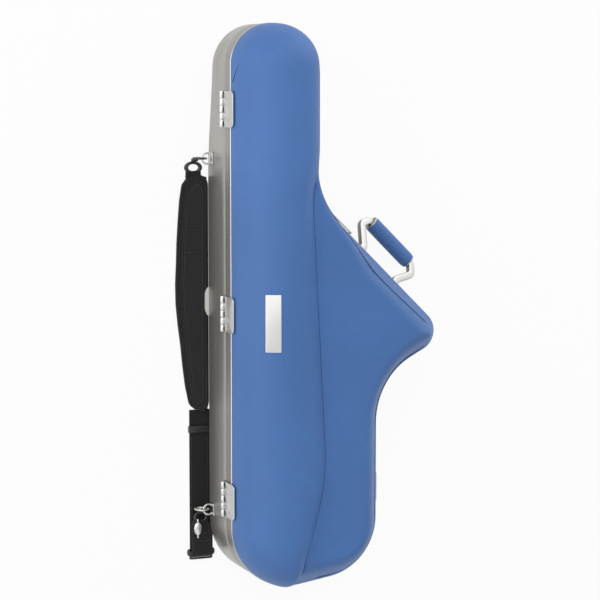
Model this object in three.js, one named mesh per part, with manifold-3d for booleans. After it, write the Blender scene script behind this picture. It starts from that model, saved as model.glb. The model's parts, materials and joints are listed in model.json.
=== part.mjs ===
// Tenor saxophone case, lying on its back. Millimetres, +Z up through the lid, +Y towards the neck end,
// +X towards the bell. The origin is on the flat back, at half the length, in line with the body tube.
import * as THREE from 'three';
import { mergeVertices } from 'three/addons/utils/BufferGeometryUtils.js';
import Module from 'manifold-3d';

const wasm = await Module();
wasm.setup();

// Outline of the case, seen from the lid
const caseLength = 855;
const hingeSide = 68;
const neckWidth = 130;
const lowerWidth = 236;
const neckShare = 0.3007;
const bellCornerOut = 119;
const bellDropShare = 0.55906;
const underBellRise = 63;
const bottomRise = 22;
const heelDrop = 13;
const heelRadius = 95;
const toeRadius = 90;
const throatRadius = 110;
const bellRadius = 32;
const shoulderRadius = 100;
const neckEndFlat = 4;

// Depths, from the back to the top of the lid
const baseDepth = 88;
const bandDepth = 26;
const crownHeight = 84;
const bellHeight = 58;
const bellEdgeWidth = 46;
const backCornerRadius = 24;
const shellWall = 3;
const coverWall = 3.2;
const foamWall = 12;
const touchGap = 0.3;
const partingGap = 0.4;
const cutOverrun = 5;
const sharpRadius = 0.6;
const cornerStep = Math.PI / 11;
const bendStep = Math.PI / 6;

// The raised crown over the body tube
const crownLowerWiden = 15;
const crownWaistIn = 12;
const crownWaistRadius = 130;
const crownShoulderRise = 57;
const crownShoulderRadius = 60;
const crownFootInset = 125;
const crownFootRadius = 18;
const crownTurnRise = 202;
const crownTurnRadius = 120;
const crownSpineRise = 80;
const crownFullness = 2.3;
const crownInsetShares = [0, 0.012, 0.045, 0.11, 0.21, 0.36, 0.56, 0.82];
const bellInsetShares = [0, 0.48, 0.6, 0.76, 1];
const bellHeightShares = [0, 0.7, 0.83, 0.93, 1];
const cornerRoundShares = [0, 0.3, 0.6, 0.85, 1];

// Rim band and seal
const beadProud = 0.8;
const beadHeight = 2.4;
const bandWall = 3;
const sealWidth = 3.5;
const sealHeight = 6;

// Foam blocks that hold the instrument
const blockGap = 0.6;
const neckBlockLength = 34;
const bowBlockLength = 30;
const bellBlockLength = 90;
const bellBlockWidth = 26;
const blockHeight = 52;
const notchRadius = 26;
const lidPadLength = 60;
const lidPadWidth = 50;
const lidPadHeight = 24;

// Butt hinges along the straight wall
const hingeLength = 54;
const knuckleRadius = 3.5;
const knuckleBore = 1.8;
const hingePinRadius = 1.45;
const leafThickness = 2.4;
const baseLeafHeight = 12;
const lidLeafHeight = 42;
const hingeTopDrop = 127;
const hingeBottomRise = 139;
const hingeMiddleY = -6;
const knuckleCount = 5;

// Draw latches
const latchPlateWidth = 37;
const latchPlateHeight = 28;
const latchPlateThickness = 2;
const latchPivotOut = 6.5;
const latchPivotDrop = 14;
const earThickness = 2.8;
const earRadius = 4.3;
const axleRadius = 1.6;
const axleBore = 2;
const leverHeight = 30;
const leverThickness = 2.5;
const leverBarrelRadius = 3.4;
const bailArm = 7;
const bailRise = 13;
const bailWire = 1.5;
const bailSideGap = 2.2;
const bailLug = 5;
const bailBendRadius = 2;
const keeperWidth = 30;
const keeperHeight = 16;
const keeperNose = 2.4;
const keeperNoseHeight = 5;
const neckLatchDrop = 127;
const bowLatchRise = 143;
const bellLatchAlong = 70;

// Carrying handle on the slope above the bell
const handleAlong = 176.5;
const handleFootSpan = 78;
const handleBendSpan = 119;
const handleGripSpan = 100;
const handleReach = 59;
const handleFootRise = 10;
const handleBendReach = 42;
const handleBendRadius = 10;
const handleWidth = 12;
const handleThickness = 9;
const handlePivotOut = 8.8;
const handlePivotHeight = 60;
const handleRestAngle = THREE.MathUtils.degToRad(-32);
const handleEyeRadius = 5;
const handlePinRadius = 2.2;
const handlePinBore = 2.6;
const bracketHeight = 22;
const bracketThickness = 2.4;
const bracketEar = 3;
const bracketEarRadius = 5;
const gripRadius = 11;
const gripEndRadius = 10;
const gripLength = 84;
const gripShares = [[-0.5, 0], [-0.47, 0.6], [-0.3, 0.9], [0, 1], [0.3, 0.9], [0.47, 0.6], [0.5, 0]];
const barSquareness = 0.55;

// Plate on the lid and bumper on the back corner
const platePlanWidth = 21;
const plateLength = 85;
const plateThickness = 1.2;
const plateStandoff = 0.5;
const plateCentreX = -31;
const plateCentreY = -12;
const bumperCentreY = 5;
const bumperHeight = 26;
const bumperReach = 11;
const bumperHalfLength = 23.5;
const bumperHalfHeight = 15;
const bumperSink = 2;

// Shoulder strap, laid along the hinge wall
const webCentre = -81;
const webWidth = 32;
const webThickness = 2.4;
const webLift = 1;
const padTopDrop = 25;
const padBottomRise = 151;
const padRight = -69;
const padThickness = 13;
const padMaxReach = 50;
const padEndRound = 16;
const padReachShares = [0.58, 0.71, 0.79, 0.85, 0.93, 0.99, 1, 0.97, 0.95, 0.91, 0.86, 0.76];
const padSquareness = 0.6;
const padTipShare = 0.5;
const padShoulderShare = 0.85;
const webEndDrop = 72;
const webReturnDrop = 25;
const sliderDrop = 29;
const sliderLength = 11;
const sliderSide = 1.7;
const sliderTop = 6.3;
const endBarRadius = 3.6;
const endBarLength = 40;
const topAnchorDrop = 202.5;
const lowAnchorRise = 111.5;
const topRingX = -90;
const lowRingX = -83;
const topRingZ = 6;
const anchorWidth = 20;
const anchorHeight = 18;
const anchorPlate = 2;
const stapleHeight = 28;
const stapleRadius = 8;
const stapleWire = 1.5;
const stapleOut = 5;
const hookHalfWidth = 8.5;
const hookHalfHeight = 12;
const hookWire = 1.5;
const hookOut = 17.2;
const hookDrop = 7.6;
const shankHalf = 2.2;
const shankLength = 5;
const ringRadius = 7.5;
const ringWire = 1.7;
const tabLength = 5.4;
const tabWidth = 22;
const tabThickness = 6.4;

// Places worked out from the sizes above
const hingeX = -hingeSide;
const neckX = hingeX + neckWidth;
const wallX = hingeX + lowerWidth;
const topY = caseLength / 2;
const bottomY = -caseLength / 2;
const neckLength = caseLength * neckShare;
const bellCornerX = wallX + bellCornerOut;
const bellCornerY = topY - caseLength * bellDropShare;
const throatY = bellCornerY - underBellRise;
const shoulderY = topY - neckLength;
const bandBottom = baseDepth + partingGap;
const bandTop = baseDepth + bandDepth;
const coverBottom = bandTop + touchGap;
const neckEndRadius = (neckWidth - neckEndFlat) / 2;
const crownFootY = bottomY - heelDrop + ((bottomRise + heelDrop) * crownFootInset) / lowerWidth;
const topAnchorY = topY - topAnchorDrop;
const lowAnchorY = bottomY + lowAnchorRise;
const padTop = topAnchorY - padTopDrop;
const padBottom = lowAnchorY + padBottomRise;
const sliderY = padBottom - sliderDrop;
const webEndY = lowAnchorY - webEndDrop;
const webReturnY = lowAnchorY - webReturnDrop;
const webLevel = webLift + webThickness / 2;
const webTurnRadius = endBarRadius + touchGap + webThickness / 2;
const returnLevel = webLevel + 2 * webTurnRadius;
const slopeAngle = Math.atan2(bellCornerY - shoulderY, bellCornerX - neckX);

const caseCorners = [
  { x: hingeX, y: bottomY - heelDrop, r: heelRadius },
  { x: wallX, y: bottomY + bottomRise, r: toeRadius },
  { x: wallX, y: throatY, r: throatRadius },
  { x: bellCornerX, y: bellCornerY, r: bellRadius },
  { x: neckX, y: shoulderY, r: shoulderRadius },
  { x: neckX, y: topY, r: neckEndRadius },
  { x: hingeX, y: topY, r: neckEndRadius },
];
const crownCorners = [
  { x: hingeX, y: bottomY - heelDrop, r: heelRadius },
  { x: hingeX + crownFootInset, y: crownFootY, r: crownFootRadius },
  { x: neckX + crownLowerWiden, y: bottomY + crownTurnRise, r: crownTurnRadius },
  { x: neckX - crownWaistIn, y: shoulderY, r: crownWaistRadius },
  { x: neckX, y: shoulderY + crownShoulderRise, r: crownShoulderRadius },
  { x: neckX, y: topY, r: neckEndRadius },
  { x: hingeX, y: topY, r: neckEndRadius },
];

// Materials
const finish = (color, roughness, metalness) => new THREE.MeshStandardMaterial({ color, roughness, metalness });
const leather = finish(0x4a73ad, 0.55, 0);
const brushed = finish(0x99958f, 0.35, 0.9);
const silver = finish(0xd5d7d8, 0.25, 0.95);
const blackNylon = finish(0x151516, 0.85, 0);
const blackMetal = finish(0x1b1b1c, 0.4, 0.6);
const foam = finish(0x2b2d31, 0.95, 0);
const rubber = finish(0x1d1e20, 0.8, 0);
const bumperGrey = finish(0xc9cdca, 0.5, 0);

const saxCase = new THREE.Group();

function place(name, geometry, material, parent = saxCase) {
  const mesh = new THREE.Mesh(geometry, material);
  mesh.name = name;
  parent.add(mesh);
  return mesh;
}

// Solids and cuts

function toSolid(geometry) {
  const bare = geometry.clone();
  bare.deleteAttribute('normal');
  bare.deleteAttribute('uv');
  const merged = mergeVertices(bare);
  const vertProperties = new Float32Array(merged.attributes.position.array);
  const triVerts = new Uint32Array(merged.index.array);
  return new wasm.Manifold(new wasm.Mesh({ numProp: 3, vertProperties, triVerts }));
}

function toGeometry(solid) {
  const mesh = solid.getMesh();
  const geometry = new THREE.BufferGeometry();
  geometry.setAttribute('position', new THREE.BufferAttribute(new Float32Array(mesh.vertProperties), 3));
  geometry.setIndex(new THREE.BufferAttribute(new Uint32Array(mesh.triVerts), 1));
  geometry.computeVertexNormals();
  return geometry;
}

function cut(body, ...tools) {
  return toGeometry(tools.reduce((solid, tool) => solid.subtract(toSolid(tool)), toSolid(body)));
}

function join(...bodies) {
  return toGeometry(bodies.map(toSolid).reduce((solid, other) => solid.add(other)));
}

// A box between two corners, so that every piece states where it starts and ends
function block(x0, x1, y0, y1, z0, z1) {
  const geometry = new THREE.BoxGeometry(x1 - x0, y1 - y0, z1 - z0);
  geometry.translate((x0 + x1) / 2, (y0 + y1) / 2, (z0 + z1) / 2);
  return geometry;
}

// A cylinder along X, from x0 to x1, round the point y, z
function rodAlongX(radius, x0, x1, y, z, sides = 12) {
  const geometry = new THREE.CylinderGeometry(radius, radius, x1 - x0, sides);
  geometry.rotateZ(Math.PI / 2);
  geometry.translate((x0 + x1) / 2, y, z);
  return geometry;
}

function rodAlongY(radius, y0, y1, x, z, sides = 12) {
  const geometry = new THREE.CylinderGeometry(radius, radius, y1 - y0, sides);
  geometry.translate(x, (y0 + y1) / 2, z);
  return geometry;
}

// Skin over a row of closed rings of equal count; wrapped joins the last ring to the first
function skin(rings, wrapped = false) {
  const count = rings[0].length;
  const positions = rings.flat().flatMap((p) => [p.x, p.y, p.z]);
  const index = [];
  const bands = wrapped ? rings.length : rings.length - 1;
  for (let k = 0; k < bands; k++) {
    const low = k * count;
    const high = ((k + 1) % rings.length) * count;
    for (let i = 0; i < count; i++) {
      const j = (i + 1) % count;
      index.push(low + i, low + j, high + j, low + i, high + j, high + i);
    }
  }
  if (!wrapped) {
    const last = (rings.length - 1) * count;
    const start = capFaces(rings[0]);
    const end = capFaces(rings[rings.length - 1]);
    start.forEach(([a, b, c]) => index.push(a, c, b));
    end.forEach(([a, b, c]) => index.push(last + a, last + b, last + c));
  }
  const geometry = new THREE.BufferGeometry();
  geometry.setAttribute('position', new THREE.Float32BufferAttribute(positions, 3));
  geometry.setIndex(index);
  geometry.computeVertexNormals();
  return geometry;
}

// Triangles of a flat ring, wound as the ring is, in the plane that it faces most
function capFaces(ring) {
  const normal = new THREE.Vector3();
  ring.forEach((p, i) => {
    const q = ring[(i + 1) % ring.length];
    normal.x += (p.y - q.y) * (p.z + q.z);
    normal.y += (p.z - q.z) * (p.x + q.x);
    normal.z += (p.x - q.x) * (p.y + q.y);
  });
  const size = [Math.abs(normal.x), Math.abs(normal.y), Math.abs(normal.z)];
  const axis = size.indexOf(Math.max(...size));
  const flat = ring.map((p) => {
    if (axis === 0) return new THREE.Vector2(p.y, p.z);
    if (axis === 1) return new THREE.Vector2(p.z, p.x);
    return new THREE.Vector2(p.x, p.y);
  });
  const turned = THREE.ShapeUtils.isClockWise(flat);
  if (turned) flat.reverse();
  const last = ring.length - 1;
  const faces = THREE.ShapeUtils.triangulateShape(flat, []);
  return turned ? faces.map(([a, b, c]) => [last - a, last - c, last - b]) : faces;
}

// Outlines

// Arc that rounds one corner, from the side of before to the side of after
function roundCorner(before, corner, after, radius, stepAngle) {
  const into = new THREE.Vector2(corner.x - before.x, corner.y - before.y).normalize();
  const out = new THREE.Vector2(after.x - corner.x, after.y - corner.y).normalize();
  const turn = Math.atan2(into.x * out.y - into.y * out.x, into.dot(out));
  const tangent = radius * Math.tan(Math.abs(turn) / 2);
  const side = Math.sign(turn);
  const centre = new THREE.Vector2(corner.x - into.x * tangent, corner.y - into.y * tangent);
  centre.x -= into.y * radius * side;
  centre.y += into.x * radius * side;
  const start = Math.atan2(-into.x * side, into.y * side);
  const steps = Math.max(1, Math.ceil(Math.abs(turn) / stepAngle));
  return Array.from({ length: steps + 1 }, (_, k) => {
    const angle = start + (turn * k) / steps;
    return new THREE.Vector2(centre.x + radius * Math.cos(angle), centre.y + radius * Math.sin(angle));
  });
}

// The closed outline of rounded corners, drawn in by inset on every side
function outline(corners, inset) {
  const count = corners.length;
  const moved = corners.map((corner, i) => {
    const before = corners[(i + count - 1) % count];
    const after = corners[(i + 1) % count];
    const into = new THREE.Vector2(corner.x - before.x, corner.y - before.y).normalize();
    const out = new THREE.Vector2(after.x - corner.x, after.y - corner.y).normalize();
    const turn = Math.atan2(into.x * out.y - into.y * out.x, into.dot(out));
    const along = inset * Math.tan(turn / 2);
    const radius = Math.max(corner.r - Math.sign(turn) * inset, sharpRadius);
    return { x: corner.x - into.x * along - into.y * inset, y: corner.y - into.y * along + into.x * inset, radius };
  });
  return moved.flatMap((corner, i) =>
    roundCorner(moved[(i + count - 1) % count], corner, moved[(i + 1) % count], corner.radius, cornerStep));
}

// A solid from level outlines, each an inset and a height
function layers(corners, levels, wrapped = false) {
  const rings = levels.map(([inset, z]) =>
    outline(corners, inset).map((p) => new THREE.Vector3(p.x, p.y, z)));
  return skin(rings, wrapped);
}

// Round from the flat of the back up to the wall, at a depth inside the outer skin
function backRound(depth) {
  const radius = backCornerRadius - depth;
  return cornerRoundShares.map((share) => {
    const angle = (share * Math.PI) / 2;
    return [depth + radius * (1 - Math.sin(angle)), depth + radius * (1 - Math.cos(angle))];
  });
}

// Open tray of the case outline, between two depths of its skin and up to a height
function tray(outer, inner, height) {
  const inside = backRound(inner).reverse();
  return layers(caseCorners, [...backRound(outer), [outer, height], [inner, height], ...inside]);
}

const crownProfile = (share) => Math.pow(1 - Math.pow(1 - share, crownFullness), 1 / crownFullness);

// The crown's outline at one height, moved from its edge towards the centre line by a share of the way
function crownRing(depth, share, z) {
  return outline(crownCorners, depth).map((p) => {
    const spineY = THREE.MathUtils.clamp(p.y, bottomY + crownSpineRise, topY - neckWidth / 2);
    return new THREE.Vector3(p.x * (1 - share), p.y + (spineY - p.y) * share, z);
  });
}

// The lid's outer form, or the same form drawn in by depth, from a bottom height
function lidForm(depth, bottom) {
  const crownRings = crownInsetShares.map((share) =>
    crownRing(depth, share, coverBottom + (crownHeight - depth) * crownProfile(share)));
  const bellLevels = bellInsetShares.map((share, i) =>
    [depth + share * bellEdgeWidth, coverBottom + (bellHeight - depth) * bellHeightShares[i]]);
  if (bottom < coverBottom) {
    crownRings.unshift(crownRing(depth, 0, bottom));
    bellLevels.unshift([depth, bottom]);
  }
  return join(skin(crownRings), layers(caseCorners, bellLevels));
}

function crownHeightAt(x) {
  return coverBottom + crownHeight * crownProfile(1 - Math.abs(x) / hingeSide);
}

// Base: tray, foam lining, seal and blocks

function makeBase() {
  place('base_shell', tray(0, shellWall, baseDepth), brushed);
  const linerOuter = shellWall + partingGap;
  const linerTop = baseDepth - sealHeight - touchGap;
  place('base_liner', tray(linerOuter, linerOuter + foamWall, linerTop), foam);
  const sealInner = linerOuter + sealWidth;
  const sealBottom = baseDepth - sealHeight;
  const sealLevels = [[linerOuter, sealBottom], [linerOuter, baseDepth], [sealInner, baseDepth], [sealInner, sealBottom]];
  place('rim_seal', layers(caseCorners, sealLevels, true), rubber);

  const floor = linerOuter + foamWall + blockGap;
  const inner = linerOuter + foamWall + blockGap;
  const room = layers(caseCorners, [[inner + backCornerRadius, floor], [inner, floor + backCornerRadius],
    [inner, baseDepth]]);
  const inRoom = (geometry) => toGeometry(toSolid(geometry).intersect(toSolid(room)));
  const blockTop = floor + blockHeight;

  const neckBlock = block(hingeX, neckX, topY - inner - neckBlockLength, topY, 0, blockTop);
  const neckNotch = rodAlongY(notchRadius, bottomY, topY, 0, blockTop, 20);
  place('neck_end_block', cut(inRoom(neckBlock), neckNotch), foam);

  const bowBlock = block(hingeX, wallX, bottomY, bottomY + inner + bowBlockLength, 0, blockTop);
  place('bow_end_block', cut(inRoom(bowBlock), rodAlongY(notchRadius, bottomY, topY, 0, blockTop, 20)), foam);

  const bellBlock = block(-bellBlockLength / 2, bellBlockLength / 2, -bellBlockWidth, 0, floor, blockTop);
  bellBlock.translate(handleAlong, -inner, 0);
  bellBlock.rotateZ(slopeAngle);
  bellBlock.translate(neckX, shoulderY, 0);
  place('bell_block', inRoom(bellBlock), foam);
}

// Lid: rim band, covered shell, foam lining and bell pad

function makeLid() {
  const beadBottom = bandTop - beadHeight;
  const bandLevels = [[0, bandBottom], [0, beadBottom], [-beadProud, beadBottom], [-beadProud, bandTop],
    [bandWall, bandTop], [bandWall, bandBottom]];
  place('lid_band', layers(caseCorners, bandLevels, true), brushed);
  const shell = cut(lidForm(0, coverBottom),
    lidForm(coverWall, coverBottom - cutOverrun));
  place('lid_shell', shell, leather);
  const linerOuter = coverWall + partingGap;
  const linerInner = linerOuter + foamWall;
  const liner = cut(lidForm(linerOuter, bandBottom + touchGap),
    lidForm(linerInner, bandBottom - cutOverrun));
  place('lid_liner', liner, foam);
  const padTopZ = coverBottom + bellHeight - linerInner - blockGap;
  const pad = block(-lidPadLength / 2, lidPadLength / 2, -lidPadWidth, 0, padTopZ - lidPadHeight, padTopZ);
  pad.translate(handleAlong, -linerInner - bellEdgeWidth, 0);
  pad.rotateZ(slopeAngle);
  pad.translate(neckX, shoulderY, 0);
  place('lid_bell_pad', pad, foam);
}

// Butt hinge: two leaves with interlocked knuckles on one pin, round the parting line

function makeHinge(name, y) {
  const group = new THREE.Group();
  group.position.set(hingeX, y, baseDepth);
  saxCase.add(group);
  const axisX = -touchGap - leafThickness / 2 - knuckleRadius;
  const pitch = hingeLength / knuckleCount;
  const half = hingeLength / 2;
  const knuckles = [];
  for (let k = 0; k < knuckleCount; k++) {
    const start = -half + k * pitch + touchGap / 2;
    knuckles.push(rodAlongY(knuckleRadius, start, start + pitch - touchGap, axisX, 0));
  }
  const bore = rodAlongY(knuckleBore, -half - cutOverrun, half + cutOverrun, axisX, 0, 10);
  const leafBack = -touchGap;
  const leafFront = leafBack - leafThickness;
  const clearance = knuckleRadius + touchGap;
  const slots = (odd) => knuckles.flatMap((_, k) => {
    if (k % 2 === odd) return [];
    const start = -half + k * pitch;
    return [block(axisX - clearance, axisX + clearance, start, start + pitch, -clearance, clearance)];
  });
  const baseLeaf = cut(block(leafFront, leafBack, -half, half, -baseLeafHeight, -partingGap), ...slots(0));
  const baseWeb = knuckles.filter((_, k) => k % 2 === 0);
  place(`${name}_base_leaf`, cut(join(baseLeaf, ...baseWeb), bore), silver, group);
  const lidFront = leafFront - beadProud;
  const lidBack = leafBack - beadProud;
  const lidLeaf = cut(block(lidFront, lidBack, -half, half, partingGap, lidLeafHeight), ...slots(1));
  const lidWeb = knuckles.filter((_, k) => k % 2 === 1);
  place(`${name}_lid_leaf`, cut(join(lidLeaf, ...lidWeb), bore), silver, group);
  place(`${name}_pin`, rodAlongY(hingePinRadius, -half, half, axisX, 0, 10), silver, group);
}

// Draw latch: plate with ears, lever, wire bail and the keeper on the lid. Local +X runs along the wall,
// +Y out of it. The bail stands just outside the keeper's nose.

function bailLoop(halfWidth, low, high, inward) {
  const corners = [
    { x: -halfWidth + inward, y: low },
    { x: -halfWidth, y: low },
    { x: -halfWidth, y: high },
    { x: halfWidth, y: high },
    { x: halfWidth, y: low },
    { x: halfWidth - inward, y: low },
  ];
  const path = corners.flatMap((corner, i) => {
    if (i === 0 || i === corners.length - 1) return [new THREE.Vector2(corner.x, corner.y)];
    return roundCorner(corners[i - 1], corner, corners[i + 1], bailBendRadius, bendStep);
  });
  return sweep(path, roundSection(bailWire, bailWire, 8));
}

// A section carried along a flat path in local X and Z; section points are across and through the plane
function sweep(path, section) {
  const rings = path.map((p, i) => {
    const before = path[Math.max(i - 1, 0)];
    const after = path[Math.min(i + 1, path.length - 1)];
    const into = new THREE.Vector2(p.x - before.x, p.y - before.y).normalize();
    const out = new THREE.Vector2(after.x - p.x, after.y - p.y).normalize();
    const mean = into.clone().add(out).normalize();
    const stretch = 1 / Math.max(mean.dot(i === 0 ? out : into), Math.SQRT1_2);
    return section.map((s) => new THREE.Vector3(p.x + mean.y * s.x * stretch, s.y, p.y - mean.x * s.x * stretch));
  });
  return skin(rings);
}

// A rounded section, half sizes across and through
function roundSection(across, through, sides, squareness = 1) {
  return Array.from({ length: sides }, (_, k) => {
    const angle = (k * 2 * Math.PI) / sides;
    const c = Math.cos(angle);
    const s = Math.sin(angle);
    const x = Math.sign(c) * Math.pow(Math.abs(c), squareness) * across;
    return new THREE.Vector2(x, Math.sign(s) * Math.pow(Math.abs(s), squareness) * through);
  });
}

function makeLatch(name, x, y, angle) {
  const group = new THREE.Group();
  group.position.set(x, y, baseDepth);
  group.rotation.z = angle;
  saxCase.add(group);
  const pivotZ = -latchPivotDrop;
  const plateBack = touchGap;
  const plateFront = plateBack + latchPlateThickness;
  const half = latchPlateWidth / 2;
  const plateTop = pivotZ + earRadius;
  const plate = block(-half, half, plateBack, plateFront, plateTop - latchPlateHeight, plateTop);
  const ears = [-half, half - earThickness].flatMap((start) => [
    block(start, start + earThickness, plateBack, latchPivotOut, pivotZ - earRadius, plateTop),
    rodAlongX(earRadius, start, start + earThickness, latchPivotOut, pivotZ),
  ]);
  const bore = rodAlongX(axleBore, -half - cutOverrun, half + cutOverrun, latchPivotOut, pivotZ, 10);
  place(`${name}_plate`, cut(join(plate, ...ears), bore), silver, group);

  const leverHalf = half - earThickness - partingGap;
  const leverFront = latchPivotOut + leverBarrelRadius;
  const leverBack = leverFront - leverThickness;
  const lever = join(
    block(-leverHalf, leverHalf, leverBack, leverFront, pivotZ - leverHeight, pivotZ),
    rodAlongX(leverBarrelRadius, -leverHalf, leverHalf, latchPivotOut, pivotZ),
    rodAlongX(axleRadius, -half, half, latchPivotOut, pivotZ, 10),
  );
  const bailZ = pivotZ - bailArm;
  const lugs = join(lever, block(-leverHalf, leverHalf, latchPivotOut - bailWire - touchGap, leverFront,
    bailZ - bailWire - partingGap, pivotZ));
  const seatRadius = bailWire + partingGap;
  const seats = [-1, 1].map((side) => {
    const inner = side * (leverHalf - bailLug);
    const outer = side * (leverHalf + cutOverrun);
    return rodAlongX(seatRadius, Math.min(inner, outer), Math.max(inner, outer), latchPivotOut, bailZ, 10);
  });
  place(`${name}_lever`, cut(lugs, ...seats), silver, group);

  const bailHalf = half + bailSideGap + bailWire;
  const bail = bailLoop(bailHalf, bailZ, bailRise, bailHalf - leverHalf + bailLug - partingGap);
  bail.translate(0, latchPivotOut, 0);
  place(`${name}_bail`, bail, silver, group);

  const keeperBack = touchGap;
  const keeperFront = keeperBack + latchPlateThickness;
  const keeperHalf = keeperWidth / 2;
  const keeperBottom = partingGap + touchGap;
  const noseFront = keeperFront + keeperNose;
  const noseTop = bailRise - bailWire - partingGap;
  const keeper = join(
    block(-keeperHalf, keeperHalf, keeperBack, keeperFront, keeperBottom, keeperBottom + keeperHeight),
    block(-keeperHalf, keeperHalf, keeperBack, noseFront, noseTop - keeperNoseHeight, noseTop),
  );
  place(`${name}_keeper`, keeper, silver, group);
}

// Handle: bow with pivot eyes, covered grip, brackets and pins. Local +X runs down the slope, +Y out of it.

function makeHandle() {
  const slope = new THREE.Group();
  slope.position.set(neckX, shoulderY, 0);
  slope.rotation.z = slopeAngle;
  saxCase.add(slope);
  const swing = new THREE.Group();
  swing.position.set(handleAlong, handlePivotOut, handlePivotHeight);
  swing.rotation.x = handleRestAngle - Math.PI / 2;
  slope.add(swing);

  const footHalf = handleFootSpan / 2;
  const bendHalf = handleBendSpan / 2;
  const gripHalf = handleGripSpan / 2;
  const corners = [
    { x: -footHalf, y: 0 },
    { x: -footHalf, y: handleFootRise },
    { x: -bendHalf, y: handleBendReach },
    { x: -gripHalf, y: handleReach },
    { x: gripHalf, y: handleReach },
    { x: bendHalf, y: handleBendReach },
    { x: footHalf, y: handleFootRise },
    { x: footHalf, y: 0 },
  ];
  const path = corners.flatMap((corner, i) => {
    if (i === 0 || i === corners.length - 1) return [new THREE.Vector2(corner.x, corner.y)];
    return roundCorner(corners[i - 1], corner, corners[i + 1], handleBendRadius, bendStep);
  });
  const bar = sweep(path, roundSection(handleWidth / 2, handleThickness / 2, 12, barSquareness));
  const eyeHalf = handleWidth / 2;
  const eyes = [-footHalf, footHalf].map((x) => rodAlongX(handleEyeRadius, x - eyeHalf, x + eyeHalf, 0, 0));
  const reach = footHalf + handleWidth;
  const bow = cut(join(bar, ...eyes), rodAlongX(handlePinBore, -reach, reach, 0, 0, 10));
  place('handle_bow', bow, silver, swing);

  const profile = gripShares.map(([along, wide]) =>
    new THREE.Vector2(gripEndRadius + (gripRadius - gripEndRadius) * wide, along * gripLength));
  const ends = [new THREE.Vector2(0, profile[0].y), ...profile, new THREE.Vector2(0, profile[profile.length - 1].y)];
  const sleeve = new THREE.LatheGeometry(ends, 16);
  sleeve.rotateZ(-Math.PI / 2);
  sleeve.translate(0, 0, handleReach);
  const core = [-gripHalf, gripHalf].map((x) => new THREE.Vector2(x, handleReach));
  const hole = sweep(core, roundSection(handleWidth / 2 + touchGap, handleThickness / 2 + touchGap, 12, barSquareness));
  place('handle_grip', cut(sleeve, hole), leather, swing);

  [-1, 1].forEach((side, i) => {
    const end = 'ab'[i];
    const centre = handleAlong + side * footHalf;
    const inner = eyeHalf + partingGap;
    const outer = inner + bracketEar;
    const back = touchGap;
    const front = back + bracketThickness;
    const low = handlePivotHeight - bracketHeight / 2;
    const base = block(-outer, outer, back, front, low, low + bracketHeight);
    const ears = [-outer, inner].flatMap((start) => [
      block(start, start + bracketEar, back, handlePivotOut, handlePivotHeight - bracketEarRadius,
        handlePivotHeight + bracketEarRadius),
      rodAlongX(bracketEarRadius, start, start + bracketEar, handlePivotOut, handlePivotHeight),
    ]);
    const bore = rodAlongX(handlePinBore, -outer - cutOverrun, outer + cutOverrun, handlePivotOut,
      handlePivotHeight, 10);
    const bracket = cut(join(base, ...ears), bore);
    bracket.translate(centre, 0, 0);
    place(`handle_bracket_${end}`, bracket, silver, slope);
    const pin = rodAlongX(handlePinRadius, centre - outer, centre + outer, handlePivotOut, handlePivotHeight, 10);
    place(`handle_pin_${end}`, pin, silver, slope);
  });
}

// Bare plate on the crown and domed bumper on the back corner

function makePlate() {
  const half = platePlanWidth / 2;
  const left = crownHeightAt(plateCentreX - half);
  const right = crownHeightAt(plateCentreX + half);
  const tilt = Math.atan2(right - left, platePlanWidth);
  const plate = block(-half, half, -plateLength / 2, plateLength / 2, 0, plateThickness);
  const mesh = place('name_plate', plate, silver);
  mesh.position.set(plateCentreX, plateCentreY, crownHeightAt(plateCentreX) + plateStandoff);
  mesh.rotation.y = -tilt;
}

function makeBumper() {
  const dome = new THREE.SphereGeometry(bumperReach, 20, 12);
  dome.scale(1, bumperHalfLength / bumperReach, bumperHalfHeight / bumperReach);
  dome.translate(hingeX + bumperSink, bumperCentreY, bumperHeight);
  const wall = layers(caseCorners, [...backRound(-touchGap), [-touchGap, baseDepth]]);
  place('corner_bumper', cut(dome, wall), bumperGrey);
}

// Shoulder strap: pad, webbing, sliders, clips and the wall anchors

function makePad() {
  const last = padReachShares.length - 1;
  const level = padThickness / 2;
  const row = (y, reach, thickShare) =>
    roundSection(reach / 2, level * thickShare, 14, padSquareness).map((s) =>
      new THREE.Vector3(padRight - reach / 2 - s.x, y, level + s.y));
  const rows = padReachShares.map((share, i) => {
    const y = padBottom + padEndRound / 2 + ((padTop - padBottom - padEndRound) * i) / last;
    return row(y, padMaxReach * share, i === 0 || i === last ? padShoulderShare : 1);
  });
  const foot = row(padBottom, padMaxReach * padReachShares[0] * padTipShare, padTipShare);
  const head = row(padTop, padMaxReach * padReachShares[last] * padTipShare, padTipShare);
  place('strap_pad', skin([foot, ...rows, head]), blackNylon);
}

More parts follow.
